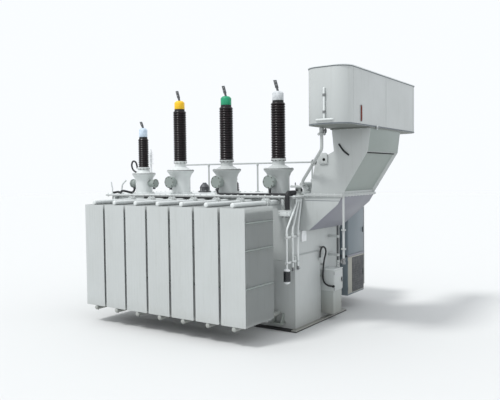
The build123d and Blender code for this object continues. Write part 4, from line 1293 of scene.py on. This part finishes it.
# %% Both halves
FRONT_INSET, FRONT_DEPTH = 0.045, 0.050
LIP_START, LIP_END, LIP_HALF = 2.525, 3.325, 0.778
LOWER_LIP, UPPER_LIP = (2.543, 2.564), (2.566, 2.587)
RIM_BOLT_PITCH, RIM_BOLT = 0.140, 0.011
LOWER_OUTLINE = ((2.400, 1.885), (2.590, 1.885), (3.200, 2.395), (3.290, 2.543), (2.525, 2.543),
                 (2.525, 2.515), (2.400, 2.515))
UPPER_OUTLINE = ((2.650, 2.565), (3.290, 2.565), (3.795, 3.355), (3.850, 3.785), (3.090, 3.785),
                 (3.130, 3.375), (2.980, 3.300), (2.840, 3.300), (2.740, 3.155), (2.680, 2.825))
FOLD_Z, FOOT_Z, FOOT_TOP = 2.462, 1.885, 2.515
SEAT_Z, SEAT_TOP = 3.764, 3.785


def bracket_shell(outline, fronts):
    """One half, its outline extruded across. fronts gives levels, inset depth and painted-shade material
    of its front faces.
    """
    shell = painted(drawn([(x, -BRACKET_HALF, z) for x, z in outline], (0, 2 * BRACKET_HALF, 0), BENT),
                    GREY)
    for low, high, depth, paint in fronts:
        refinished(shell, paint, lambda centre, normal: (
            normal.x > 0.5 and abs(normal.y) < 0.1 and low < centre.z < high), FRONT_INSET, depth)
    return shell


def lip(levels):
    """The flange round one half, from its lower to its upper level."""
    return block((LIP_START, -LIP_HALF, levels[0]), (LIP_END, LIP_HALF, levels[1]), SAWN)


def rim_bolts(level, facing):
    """Bolts along the near, far and outer rim of the flange."""
    spots = [(2.590 + step * RIM_BOLT_PITCH, side * 0.7605) for step in range(6) for side in SIDES]
    spots += [(3.3075, -0.700 + step * RIM_BOLT_PITCH) for step in range(11)]
    return bolts([at((x, y, level), facing) for x, y in spots], RIM_BOLT)


def bracket_halves():
    """The foot on the tank's end wall and the neck that leans out under the conservator."""
    both = (-BRACKET_HALF, BRACKET_HALF)
    # The foot's sloped front faces are painted darker: painted shade.
    foot = bracket_shell(LOWER_OUTLINE, [(1.9, 2.54, 0, VIOLET_AND_SHADE)])
    # The beads along the folds are painted dark: painted shade in the creases.
    folds = [bead((2.520, y, FOLD_Z), (3.240, y, FOLD_Z), FINE_BEAD) for y in both]
    welds = [bead((2.400, y, FOOT_Z), (2.400, y, FOOT_TOP)) for y in both]
    piece("bracket_foot", [foot, *coated(GREY, lip(LOWER_LIP), *welds), *coated(JOINT_AND_SHADE_GREY, *folds),
                           painted(rim_bolts(LOWER_LIP[0], DOWN), PALE_AND_HIGHLIGHT)], "bracket_lower")
    # The neck's front faces are painted darker: painted shade.
    neck = bracket_shell(UPPER_OUTLINE, [(2.6, 3.3, FRONT_DEPTH, GREEN_GREY_AND_SHADE), (3.36, 3.78, 0, GREEN_GREY_AND_SHADE)])
    # The seat under the conservator is painted darker: painted shade.
    seat = block((3.075, -0.770, SEAT_Z), (3.858, 0.770, SEAT_TOP), SAWN)
    seat_bolts = bolts([at((3.15 + 0.13 * step, side * 0.757, SEAT_Z), DOWN)
                        for step in range(6) for side in SIDES], 0.010)
    # A dark rod under the top of the inset face is painted shadow.
    shadow = rod((3.735, -0.690, 3.336), (3.735, 0.690, 3.336), 0.022, 8)
    seams = [bead((2.655, side * 0.744, 2.590), (3.285, side * 0.744, 2.590), 0.009)
             for side in SIDES]
    piece("bracket_neck", [
        neck, painted(seat, UNDERSIDE_SHADE), painted(shadow, DARK_AND_SHADE), *coated(GREY, lip(UPPER_LIP), *seams),
        *coated(PALE_AND_HIGHLIGHT, seat_bolts, rim_bolts(UPPER_LIP[1], UP))], "bracket_upper")


bracket_halves()

# %% [markdown]
# ## Oil pipe and gas relay
# One pipe joins the conservator to the tank. The gas relay sits in it at the foot: bubbles
# from a fault collect there and trip an alarm, so it has a window to look at the gas.

# %% Oil pipe
OIL_PIPE, OIL_BEND_RUN = 0.060, 0.050
OIL_TOP = Vector((3.090, -1.140, shell_low.z))
OIL_BEND = Vector((3.090, -1.140, 3.400))
OIL_FOOT = Vector((2.420, -0.640, 2.830))
OIL_END_Z = 2.748
RELAY_X, RELAY_Y = 2.330, -0.640


def oil_pipe():
    """The pipe with its flanges, the stop valve's wheel and the coupling on the slope."""
    run = OIL_BEND + (OIL_FOOT - OIL_BEND) * 0.40
    line = pipe([OIL_TOP, OIL_BEND, OIL_FOOT, (2.420, -0.640, OIL_END_Z)], OIL_PIPE, OIL_BEND_RUN, 20)
    stub = rod(OIL_TOP - Vector((0, 0, 0.100)), OIL_TOP - Vector((0, 0, 0.004)), 0.086, 24, BENT)
    parts = coated(GREY, line, stub)
    for centre, facing, diameter, thickness in (
            (OIL_TOP - Vector((0, 0, 0.115)), UP, 0.150, 0.030),
            (run, OIL_FOOT - OIL_BEND, 0.120, 0.036),
            ((2.420, -0.640, OIL_END_Z + 0.016), UP, 0.120, 0.026)):
        parts += flange(centre, facing, diameter, thickness, 6, 0.010, METAL)
    parts += handwheel(OIL_TOP + Vector((0.040, 0, -0.060)), (1, 0, 0))
    return piece("oil_line", parts, "oil_pipe")


def relay():
    """The relay's casting with a window on two sides, its lid and a test cock."""
    x, y = RELAY_X, RELAY_Y
    low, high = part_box("gas_relay")
    top = high.z - 0.006
    casting = standing([
        (0.093, 0), (0.095, 0.002), (0.095, 0.022), (0.092, 0.025), (0.058, 0.025), (0.052, 0.034),
        (0.054, 0.050), (0.062, 0.062), (0.064, 0.068), (0.064, 0.132), (0.058, 0.144),
        (0.058, 0.150)], x, y, WEATHERED_AND_SHADED, 32)
    foot_bolts = bolts(ring_places((x, y, COVER + 0.025), UP, 0.152, 6), 0.012)
    lid = block((low.x, low.y, high.z - 0.045), (high.x, high.y, high.z - 0.004), 0.010, 3)
    lid_bolts = bolts([at((x + dx, y + dy, top)) for dx in (-0.115, 0, 0.02)
                       for dy in (-0.065, 0.065)], 0.009)
    cock = upright(x - 0.07, y, top, high.z + 0.05, 0.024, 12, SAWN)
    parts = [casting, painted(foot_bolts, PALE_AND_HIGHLIGHT), painted(lid, GREY), *coated(METAL, lid_bolts, cock)]
    centre = Vector((x, y, COVER + 0.100))
    for facing in (NEAR, (1, 0, 0)):
        out = Vector(facing)
        ring = turned([(0.034, 0.040), (0.034, 0.072), (0.030, 0.074), (0.024, 0.070)], 24)
        parts.append(painted(place(ring, centre, out), METAL))
        parts.append(painted(rod(centre + out * 0.06, centre + out * 0.0715, 0.046, 24, FINE), DARK_AND_SHADE))
    return piece("relay_casting", parts, "gas_relay", slot="relay_paint")


oil_pipe()
relay()

# %% [markdown]
# ## Control cabinet and drive box
# The cabinet holds the fans' and the instruments' terminals. Its doors are folded trays, so
# they stand proud with round edges, and the lower one has pressed louvres. The drive box
# turns the tap changer through the upright shaft.

# %% Control cabinet
box_low, box_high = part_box("control_cabinet")
CABINET_FACE, CABINET_NEAR, CABINET_FAR = 2.565, 1.040, 1.900
DOOR_PROUD, DOOR_GAP, DOOR_SLIT = 0.010, 0.018, 0.006
DOOR_FACE = CABINET_FACE + DOOR_PROUD
SILL_LOW, SILL_HIGH, EAVES = 1.170, 1.210, 0.025
LOUVRES, LOUVRE_PITCH, LOUVRE_WIDTH, LOUVRE_START = 12, 0.050, 0.580, 0.100
PANEL_Y = (CABINET_NEAR + CABINET_FAR) / 2 + 0.090
MOUTH_HALF = 0.280


def louvre(z):
    """A pressed hood: a wedge that opens downwards."""
    start = PANEL_Y - LOUVRE_WIDTH / 2
    return drawn([(DOOR_FACE, start, z + 0.016), (DOOR_FACE + 0.011, start, z - 0.010),
                  (DOOR_FACE, start, z - 0.010)], (0, LOUVRE_WIDTH, 0), FINE, 1)


def door(low, high, paint):
    """A folded tray with two hinges and a handle."""
    tray = block((CABINET_FACE - 0.002, CABINET_NEAR + DOOR_GAP, low + DOOR_SLIT),
                 (DOOR_FACE, CABINET_FAR - DOOR_GAP, high - DOOR_SLIT), CAST)
    hinges = [upright(CABINET_FACE + 0.008, CABINET_NEAR + 0.010, z - 0.035, z + 0.035, 0.016)
              for z in (low + share * (high - low) for share in (0.15, 0.85))]
    z = (low + high) / 2
    handle = block((DOOR_FACE - 0.001, CABINET_FAR - 0.085, z - 0.06),
                   (DOOR_FACE + 0.010, CABINET_FAR - 0.060, z + 0.06), DRESSED)
    return [painted(tray, paint), *coated(METAL, *hinges), painted(handle, DARK_AND_SHADE)]


def cabinet():
    """Body, doors, louvres, hinges, handles, roof and sill of the control cabinet."""
    near, far = CABINET_NEAR, CABINET_FAR
    body = block((box_low.x, near, box_low.z), (CABINET_FACE, far, box_high.z - EAVES), BENT)
    sill = block((box_low.x, near, SILL_LOW), (CABINET_FACE + 0.020, far, SILL_HIGH), DRESSED)
    hood = drawn([
        (box_low.x, near, box_high.z - EAVES), (CABINET_FACE + 0.020, near, box_high.z - EAVES),
        (CABINET_FACE + 0.020, near, box_high.z - 0.014), (box_low.x, near, box_high.z)],
        (0, far - near, 0), SAWN)
    panel = block(
        (DOOR_FACE - 0.001, PANEL_Y - LOUVRE_WIDTH / 2 - 0.02, box_low.z + 0.05),
        (DOOR_FACE + 0.001, PANEL_Y + LOUVRE_WIDTH / 2 + 0.02, SILL_LOW - 0.03), 0)
    rows = [box_low.z + LOUVRE_START + step * LOUVRE_PITCH for step in range(LOUVRES)]
    mouths = [block((DOOR_FACE - 0.001, PANEL_Y - MOUTH_HALF, z - 0.0155),
                    (DOOR_FACE + 0.001, PANEL_Y + MOUTH_HALF, z - 0.0095), 0) for z in rows]
    # The body, upper door and sill are darker partly as painted shade under the conservator; the louvre
    # panel is partly painted shade, and the mouths under the hoods are painted shade.
    parts = [painted(body, SLATE_AND_SHADE), painted(sill, VIOLET_AND_SHADE), painted(hood, PALE_AND_HIGHLIGHT)]
    parts += door(box_low.z + 0.03, SILL_LOW, STONE) + door(SILL_HIGH, box_high.z - 0.035, SLATE_AND_SHADE)
    parts += coated(LOUVRE_GREY_AND_SHADE, panel, *[louvre(z) for z in rows]) + coated(DARK_AND_SHADE, *mouths)
    return piece("cabinet_housing", parts, "control_cabinet")


def cabinet_arms():
    """Angle arms welded to the tank's wall and bolted to the cabinet's side."""
    low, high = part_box("cabinet_brackets")
    parts = []
    for z in (low.z, high.z - 0.060):
        for start_x, end_x, top in (
                (low.x, high.x, 0.008), (low.x, low.x + 0.008, 0.060), (high.x - 0.008, high.x, 0.060)):
            parts.append(block((start_x, low.y, z), (end_x, high.y, z + top), FINE))
    return piece("cabinet_arms", coated(GREY, *parts), "cabinet_brackets")


cabinet()
cabinet_arms()

# %% Drive box and shaft
drive_low, drive_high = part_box("drive_box")
DRIVE_BOTTOM, DRIVE_DOOR, DRIVE_LID = 0.604, 0.010, 0.014
PEDESTAL_INSET = 0.014
HANDLE_Y, HANDLE_Z, HANDLE_HALF = drive_high.y - 0.07, 0.800, 0.050
SHAFT_X, SHAFT_Y = 2.600, 0.500
COUPLING = ((0, 0.045, 0.080), (0.052, 0.092, 0.066), (0.100, 0.145, 0.080))
BEARING_LEVELS = (0.255, 0.6375)


def drive_box():
    """The drive's housing with its door, on a pedestal that hides the cables."""
    near, far, top = drive_low.y, drive_high.y, drive_high.z - DRIVE_LID
    face = drive_high.x - DRIVE_DOOR
    body = block((drive_low.x, near, DRIVE_BOTTOM), (face, far, top), BENT)
    tray = block((face - 0.002, near + 0.014, DRIVE_BOTTOM + 0.012),
                 (drive_high.x, far - 0.014, top - 0.014), CAST)
    skirt = block((drive_low.x, near + 0.004, DRIVE_BOTTOM - 0.010),
                  (face - 0.004, far - 0.004, DRIVE_BOTTOM + 0.004), THIN)
    lid = block((drive_low.x, near - 0.006, top), (drive_high.x, far + 0.006, drive_high.z), DRESSED)
    # The pedestal is painted darker than the box: painted shade under it.
    pedestal = block((drive_low.x, near + PEDESTAL_INSET, drive_low.z),
                     (face - PEDESTAL_INSET, far - PEDESTAL_INSET, DRIVE_BOTTOM), DRESSED)
    rose = rod((drive_high.x - 0.002, HANDLE_Y, HANDLE_Z), (drive_high.x + 0.012, HANDLE_Y, HANDLE_Z),
               0.030, 16, SAWN)
    handle = block((drive_high.x + 0.004, HANDLE_Y - 0.008, HANDLE_Z - HANDLE_HALF),
                   (drive_high.x + 0.016, HANDLE_Y + 0.008, HANDLE_Z + HANDLE_HALF), DRESSED)
    hinges = [upright(drive_high.x - 0.002, near + 0.008, z - 0.03, z + 0.03, 0.014)
              for z in (0.640, 0.960)]
    return piece("drive_housing", [
        *coated(GREY, body, tray, skirt), painted(lid, PALE_AND_HIGHLIGHT), painted(pedestal, WEATHERED_AND_SHADED),
        *coated(DARK_AND_SHADE, rose, handle), *coated(METAL, *hinges)], "drive_box")


def shaft():
    """The upright shaft with a universal joint at its foot and two bearings on the wall."""
    low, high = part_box("drive_shaft")
    x, y = SHAFT_X, SHAFT_Y
    parts = [upright(x, y, low.z + start, low.z + end, width, 20, DRESSED)
             for start, end, width in COUPLING]
    for z in (low.z + level for level in BEARING_LEVELS):
        parts.append(block((WALL_X, y - 0.045, z - 0.0225), (x - 0.02, y + 0.045, z + 0.0225), DRESSED))
        parts.append(upright(x, y, z - 0.026, z + 0.026, 0.078, 20, DRESSED))
    bar = upright(x, y, low.z, high.z - 0.01, 0.045, 20)
    return piece("shaft_and_bearings", [painted(bar, WORN_METAL), *coated(GREY, *parts)], "drive_shaft")


drive_box()
shaft()

# %% [markdown]
# ## Railing, hung pipes and breather
# The railing keeps a fitter on the cover from stepping back over the edge. Down the end wall
# hang thin pipes. The outermost ends in the breather, whose glass canister of drying agent
# takes the damp out of the air that the conservator draws in.

# %% Railing
rail_low, rail_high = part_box("railing_rail")
RAIL, POST_FOOT, POST_PLATE, POST_BOLT_STEP = 0.040, 0.045, 0.012, 0.030


def railing():
    """The rail with closed ends, and posts with feet, bolts and a tee at the rail."""
    y, z = (rail_low.y + rail_high.y) / 2, rail_high.z - RAIL / 2
    tube = rod((rail_low.x, y, z), (rail_high.x, y, z), RAIL, 20, 0.008)
    piece("rail_tube", [painted(tube, GREY)], "railing_rail")
    parts = []
    for x in POST_COLUMNS:
        post = upright(x, y, COVER + 0.01, z, RAIL, 20)
        tee = upright(x, y, z - 0.060, z - 0.012, RAIL + 0.012, 20, DRESSED)
        foot = block((x - POST_FOOT, y - POST_FOOT, COVER),
                     (x + POST_FOOT, y + POST_FOOT, COVER + POST_PLATE), SAWN)
        heads = bolts([at((x + a * POST_BOLT_STEP, y + b * POST_BOLT_STEP, COVER + POST_PLATE))
                       for a in SIDES for b in SIDES], 0.008)
        parts += [*coated(GREY, post, tee, foot), painted(heads, METAL)]
    return piece("rail_posts", parts, "railing_posts")


railing()

# %% Hung pipes, valves and bars
HUNG_X, HUNG_LOW = WALL_X + 0.065, 1.235
HUNG_PIPE, HUNG_BEND = 0.036, 0.042
HUNG_START, HUNG_END = UNDER - 0.090, UNDER - 0.570
HUNG = {"breather": (-0.960, -1.335), "first": (-0.800, -0.920), "second": (-0.880, -1.120)}
BAR_LEVELS, BAR_FEET = (1.330, 1.800), (-0.870, -0.965)


def hung(start_y, end_y):
    """A thin pipe that steps out sideways on its way down, with a union at each end of the step."""
    route = [(HUNG_X, start_y, UNDER), (HUNG_X, start_y, HUNG_START), (HUNG_X, end_y, HUNG_END),
             (HUNG_X, end_y, HUNG_LOW)]
    unions = [upright(HUNG_X, y, z - 0.018, z + 0.018, 0.052, 6, SAWN)
              for y, z in ((start_y, HUNG_START + 0.045), (end_y, HUNG_END - 0.090))]
    return coated(PALE_AND_HIGHLIGHT, pipe(route, HUNG_PIPE, HUNG_BEND, 16), *unions)


def hung_pipes():
    """The breather's pipe, and two drain pipes that end in small valves."""
    piece("breather_line", hung(*HUNG["breather"]), "breather_pipe")
    parts = hung(*HUNG["first"]) + hung(*HUNG["second"])
    for _, y in (HUNG["first"], HUNG["second"]):
        body = turned([(0.018, 0), (0.024, 0.004), (0.024, 0.024), (0.016, 0.030), (0.016, 0.044),
                       (0.024, 0.050), (0.024, 0.068), (0.018, 0.070)], 16)
        lever = block((HUNG_X + 0.018, y - 0.006, HUNG_LOW - 0.050),
                      (HUNG_X + 0.026, y + 0.045, HUNG_LOW - 0.036), THIN)
        parts += coated(METAL, moved(body, HUNG_X, y, HUNG_LOW - 0.070), lever)
    return piece("drain_lines", parts, "drain_pipes")


def bars():
    """Flat bars across the end wall, with a saddle clip over each pipe."""
    low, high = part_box("pipe_bars")
    parts = []
    for z in BAR_LEVELS:
        bar = block((high.x - 0.008, low.y, z - 0.020), (high.x, high.y, z + 0.020), THIN)
        feet = [block((WALL_X, y - 0.008, z - 0.018), (high.x - 0.006, y + 0.008, z + 0.018), FINE)
                for y in BAR_FEET]
        parts += [painted(bar, PALE_AND_HIGHLIGHT), *coated(GREY, *feet)]
        for start_y, end_y in HUNG.values():
            share = max(0.0, min(1.0, (z - HUNG_END) / (HUNG_START - HUNG_END)))
            y = end_y + (start_y - end_y) * share
            parts.append(painted(pipe([
                (high.x, y - 0.023, z), (HUNG_X + 0.022, y - 0.023, z), (HUNG_X + 0.022, y + 0.023, z),
                (high.x, y + 0.023, z)], 0.007, 0.018, 8), METAL))
    return piece("pipe_saddles", parts, "pipe_bars")


hung_pipes()
bars()

# %% Breather
BREATHER_Y = HUNG["breather"][1]
TIE_ROD_CIRCLE = 0.043


def breather():
    """Two white caps held by tie rods over a glass canister full of drying agent."""
    caps = []
    for level, turn in ((1.190, 0), (1.000, math.pi)):
        disc = turned([(0.052, 0), (0.056, 0.004), (0.056, 0.026), (0.052, 0.030), (0.030, 0.034),
                       (0.028, 0.045)], 28)
        disc.rotation_euler = (turn, 0, 0)
        caps.append(painted(moved(disc, HUNG_X, BREATHER_Y, level), WHITE))
    for turn in (0.8, 2.4, 3.9, 5.5):
        x, y = HUNG_X + TIE_ROD_CIRCLE * math.cos(turn), BREATHER_Y + TIE_ROD_CIRCLE * math.sin(turn)
        caps.append(painted(upright(x, y, 0.985, 1.205, 0.006, 8), ZINC))
    piece("breather_discs", caps, "breather_caps", slot="white_plastic")
    glass, gel = (moved(turned(rings, 32), HUNG_X, BREATHER_Y, 1.000) for rings in (
        [(0.060, 0), (0.067, 0.004), (0.067, 0.186), (0.060, 0.190)],
        [(0.060, 0.030), (0.0645, 0.036), (0.0645, 0.178), (0.060, 0.184)]))
    return piece("breather_glass", [painted(glass, GLASS), painted(gel, GEL)], "breather_canister",
                 slot="breather_glass")


breather()

# %% [markdown]
# ## Conduits, hoses and small lines
# Rubber conduits carry the instruments' wires from the turrets over the cover's edge into a
# gland box. Stiff conduits keep sharp bends and are drawn as pipes. Flexible ones are one
# smooth curve through a few chosen points, clipped to what they run along.

# %% Conduits on the cover
CONDUIT, SLEEVE, SLEEVE_WALL = 0.044, 0.096, 0.008
CONDUIT_LINE, SLEEVE_LEVEL = COVER + 0.024, COVER + 0.057
SLEEVE_START, SLEEVE_OUT, SLEEVE_END = -0.886, -1.164, 2.300
RIB_PITCH, RIB = 0.024, 0.012
GLAND_OUT = 0.120
EDGE_CONDUIT = ((-1.300, 0.760), 0.026)


def conduits():
    """Two conduits from the terminal boxes, their ribbed sleeve, and one under the cover's edge."""
    parts = []
    for row, line_y in ((BUSHINGS[2], -0.990), (BUSHINGS[3], -0.930)):
        x, y = row["x"], ROW_Y - row["turret"] - GLAND_OUT
        parts.append(pipe([
            (x, y, COVER + row["height"] * BOX_HEIGHT_SHARE - row["box"]), (x, y, CONDUIT_LINE),
            (x + 0.330, line_y, CONDUIT_LINE), (SLEEVE_X, line_y, CONDUIT_LINE)], CONDUIT, 0.045, 14))
    parts.append(pipe([
        (SLEEVE_X, SLEEVE_START, SLEEVE_LEVEL), (SLEEVE_X, SLEEVE_OUT, SLEEVE_LEVEL),
        (SLEEVE_X, SLEEVE_OUT, SLEEVE_END)], SLEEVE - SLEEVE_WALL, 0.062, 24))
    for y in (SLEEVE_START - 0.010 - RIB_PITCH * step for step in range(9)):
        parts.append(rod((SLEEVE_X, y, SLEEVE_LEVEL), (SLEEVE_X, y - RIB, SLEEVE_LEVEL), SLEEVE, 24, SAWN))
    for z in (SLEEVE_END + 0.006 + RIB_PITCH * step for step in range(10)):
        parts.append(upright(SLEEVE_X, SLEEVE_OUT, z, z + RIB, SLEEVE, 24, SAWN))
    (start, end), width = EDGE_CONDUIT
    edge_y, edge_z = cover_low.y + 0.014, UNDER - 0.0145
    parts.append(rod((start, edge_y, edge_z), (end, edge_y, edge_z), width, 12, DRESSED))
    return piece("conduits_and_sleeve", coated(RUBBER, *parts), "control_conduits",
                 slot="black_rubber")


def gland():
    """The gland box with its bolted lid and two cable glands below."""
    low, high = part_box("gland_box")
    body = block(low, (high.x, high.y, high.z - 0.010), BENT)
    lid = block((low.x - 0.004, low.y - 0.004, high.z - 0.012), (high.x + 0.004, high.y, high.z), SAWN)
    heads = bolts([at((x, low.y, z), NEAR) for x in (low.x + 0.03, high.x - 0.03)
                   for z in (low.z + 0.025, high.z - 0.035)], 0.008)
    glands = [rod((x, low.y + 0.06, low.z), (x, low.y + 0.06, low.z - 0.035), 0.036, 6, SAWN)
              for x in (low.x + 0.07, high.x - 0.07)]
    return piece("gland_housing", coated(PALE_AND_HIGHLIGHT, body, lid) + coated(METAL, heads, *glands), "gland_box")


conduits()
gland()

# %% Flexible lines
HOSE_X, HOSE = 2.470, 0.034
CABLE, NEUTRAL_CABLE, THIN_CABLE = 0.050, 0.040, 0.032
VENT_FOOT = 2.556


def flexible(points, diameter, sides=12):
    """A rubber hose or cable along one smooth curve that is steered by a few points."""
    deselect()
    curve = bpy.data.curves.new("flexible", "CURVE")
    curve.dimensions = "3D"
    spline = curve.splines.new("NURBS")
    spline.points.add(len(points) - 1)
    for spot, where in zip(spline.points, points):
        spot.co = (*where, 1)
    spline.order_u = 3
    spline.use_endpoint_u = True
    spline.resolution_u = 8
    curve.bevel_depth = diameter / 2
    curve.bevel_resolution = (sides - 4) // 2
    curve.use_fill_caps = True
    line = bpy.data.objects.new("flexible", curve)
    bpy.context.scene.collection.objects.link(line)
    choose(line)
    bpy.ops.object.convert(target="MESH")
    bpy.ops.object.mode_set(mode="EDIT")
    return painted(face_outwards(), RUBBER)


def in_plane(axis, value, points):
    """Points of a route that lies in a plane square to X or Y."""
    return [(value, a, b) if axis == "x" else (a, value, b) for a, b in points]


def end_hose():
    """The hose on the end wall, from a gland block up over an arch and into the drive box."""
    route = in_plane("x", HOSE_X, [
        (-0.040, 1.288), (-0.030, 1.400), (0.020, 1.475), (0.092, 1.495), (0.172, 1.470),
        (0.222, 1.410), (0.212, 1.330), (0.150, 1.240), (0.112, 1.120), (0.085, 0.990),
        (0.072, 0.870)])
    route += [(2.500, 0.068, 0.770), (2.570, 0.080, 0.715), (2.650, 0.100, 0.700), (2.690, 0.126, 0.700)]
    gland_block = block((WALL_X + END_BOX_FACE, -0.062, 1.248), (2.500, -0.018, 1.288), DRESSED)
    inlet = rod((2.690, 0.088, 0.700), (2.690, 0.128, 0.700), 0.052, 8, DRESSED)
    clips = [block((WALL_X, y - 0.006, z - 0.022), (HOSE_X - 0.008, y + 0.006, z + 0.022), THIN)
             for y, z in ((0.092, 1.482), (0.118, 1.130), (0.078, 0.900))]
    return piece("drive_hose", [flexible(route, HOSE), painted(gland_block, GREY), painted(inlet, DARK_AND_SHADE),
                                *coated(ZINC, *clips)], slot="black_rubber")


def cover_lines():
    """The vent pipes and the cable at the near corner of the cover, and the bracket's lead."""
    outer_vent = pipe(in_plane("y", -0.950, [
        (-2.472, 2.829), (-2.462, 2.740), (-2.440, 2.690), (-2.440, VENT_FOOT)]), 0.032, 0.03, 14)
    inner_vent = pipe(in_plane("y", -0.800, [
        (-2.148, 2.860), (-2.264, 2.779), (-2.294, 2.663), (-2.294, VENT_FOOT)]), 0.040, 0.04, 14)
    sockets = [upright(-2.294, -0.800, VENT_FOOT, VENT_FOOT + 0.024, 0.090, 20, SAWN),
               upright(-2.440, -0.950, VENT_FOOT, VENT_FOOT + 0.020, 0.080, 20, SAWN)]
    row = BUSHINGS[0]
    box_x = row["x"] - row["turret"] - GLAND_OUT
    gland_z = COVER + row["height"] * BOX_HEIGHT_SHARE - row["box"] - 0.030
    cable = flexible([
        (box_x, ROW_Y, gland_z), (box_x, ROW_Y - 0.010, COVER + 0.070),
        (box_x + 0.030, ROW_Y - 0.080, COVER + 0.036), (-2.020, -0.740, COVER + 0.028),
        (-1.960, -0.840, COVER + 0.030), (-1.960, -0.960, COVER + 0.056),
        (-2.060, -1.000, COVER + 0.080), (-2.130, -0.980, COVER + 0.050),
        (-2.180, -0.940, COVER + 0.028), (-2.240, -0.960, COVER + 0.050),
        (-2.300, -1.010, COVER + 0.034), (-2.330, -1.040, COVER + 0.028)], CABLE)
    bracket_lead = flexible(in_plane("y", -0.752, [
        (3.238, 3.502), (3.280, 3.440), (3.317, 3.390), (3.370, 3.340), (3.435, 3.296)]), THIN_CABLE)
    clips = [block((x - 0.02, y - 0.035, COVER), (x + 0.02, y + 0.035, COVER + 0.008), THIN)
             for x, y in ((-2.020, -0.740), (-2.180, -0.940))]
    return piece("cover_lines", [
        *coated(PALE_AND_HIGHLIGHT, outer_vent, inner_vent, *sockets), cable, bracket_lead, *coated(ZINC, *clips)],
        slot="black_rubber")


def neutral_lead():
    """The short earthing lead from the neutral turret's flange to its terminal box."""
    lead = flexible(in_plane("y", -0.600, [
        (-1.960, 3.030), (-2.050, 3.060), (-2.130, 3.120), (-2.160, 3.220), (-2.120, 3.310),
        (-2.030, 3.300), (-1.985, 3.220), (-1.975, 3.140)]), NEUTRAL_CABLE)
    return piece("neutral_lead", [lead], slot="black_rubber")


def bare_plate():
    """A bare enamelled plate on four spacers on the end wall."""
    face = WALL_X + 0.016
    sheet = block((WALL_X + 0.012, -0.690, 1.665), (face, -0.496, 1.872), FINE, 1)
    spots = [(y, z) for y in (-0.676, -0.510) for z in (1.679, 1.858)]
    spacers = [rod((WALL_X, y, z), (WALL_X + 0.013, y, z), 0.010, 8) for y, z in spots]
    heads = bolts([at((face, y, z), (1, 0, 0)) for y, z in spots], 0.005)
    return piece("bare_plate", [painted(sheet, WHITE), *coated(ZINC, *spacers, heads)],
                 slot="white_plastic")


end_hose()
cover_lines()
neutral_lead()
bare_plate()

# %% [markdown]
# ## Studio
# The light is an overcast sky with a broad, soft key from the front left and above. So the
# long side is bright, the conservator end is in soft shade and upward faces are nearly white.
# The floor is a plain pale sheet, which isn't part of the object.

# %% Floor, sky and key light
SKY_STRENGTH, KEY_STRENGTH, KEY_SPREAD = 1.04, 1.9, math.radians(12)
KEY_FROM = (-0.20, -0.50, 0.84)
FLOOR_SIZE, FLOOR_DROP = 160, 0.002

deselect()
bpy.ops.mesh.primitive_plane_add(size=FLOOR_SIZE, location=(0, 0, -FLOOR_DROP))
floor = bpy.context.object
floor.name = "studio_floor"
floor_paper, floor_shader, _ = finish("studio_paper", Roughness=0.9)
floor_shader.inputs["Base Color"].default_value = linear("#d2d3d2")
painted(floor, floor_paper)

sky = bpy.data.worlds.new("studio_sky")
sky.use_nodes = True
sky.node_tree.nodes["Background"].inputs["Color"].default_value = linear("#f6f9fd")
sky.node_tree.nodes["Background"].inputs["Strength"].default_value = SKY_STRENGTH
bpy.context.scene.world = sky

key_data = bpy.data.lights.new("key", "SUN")
key_data.energy = KEY_STRENGTH
key_data.angle = KEY_SPREAD
key = bpy.data.objects.new("key", key_data)
key.matrix_world = at((0, 0, 0), KEY_FROM)
bpy.context.scene.collection.objects.link(key)
bpy.context.scene.view_settings.view_transform = "Standard"

# %% [markdown]
# ## The end

# %% The end
deselect()
print(len(made), "pieces")
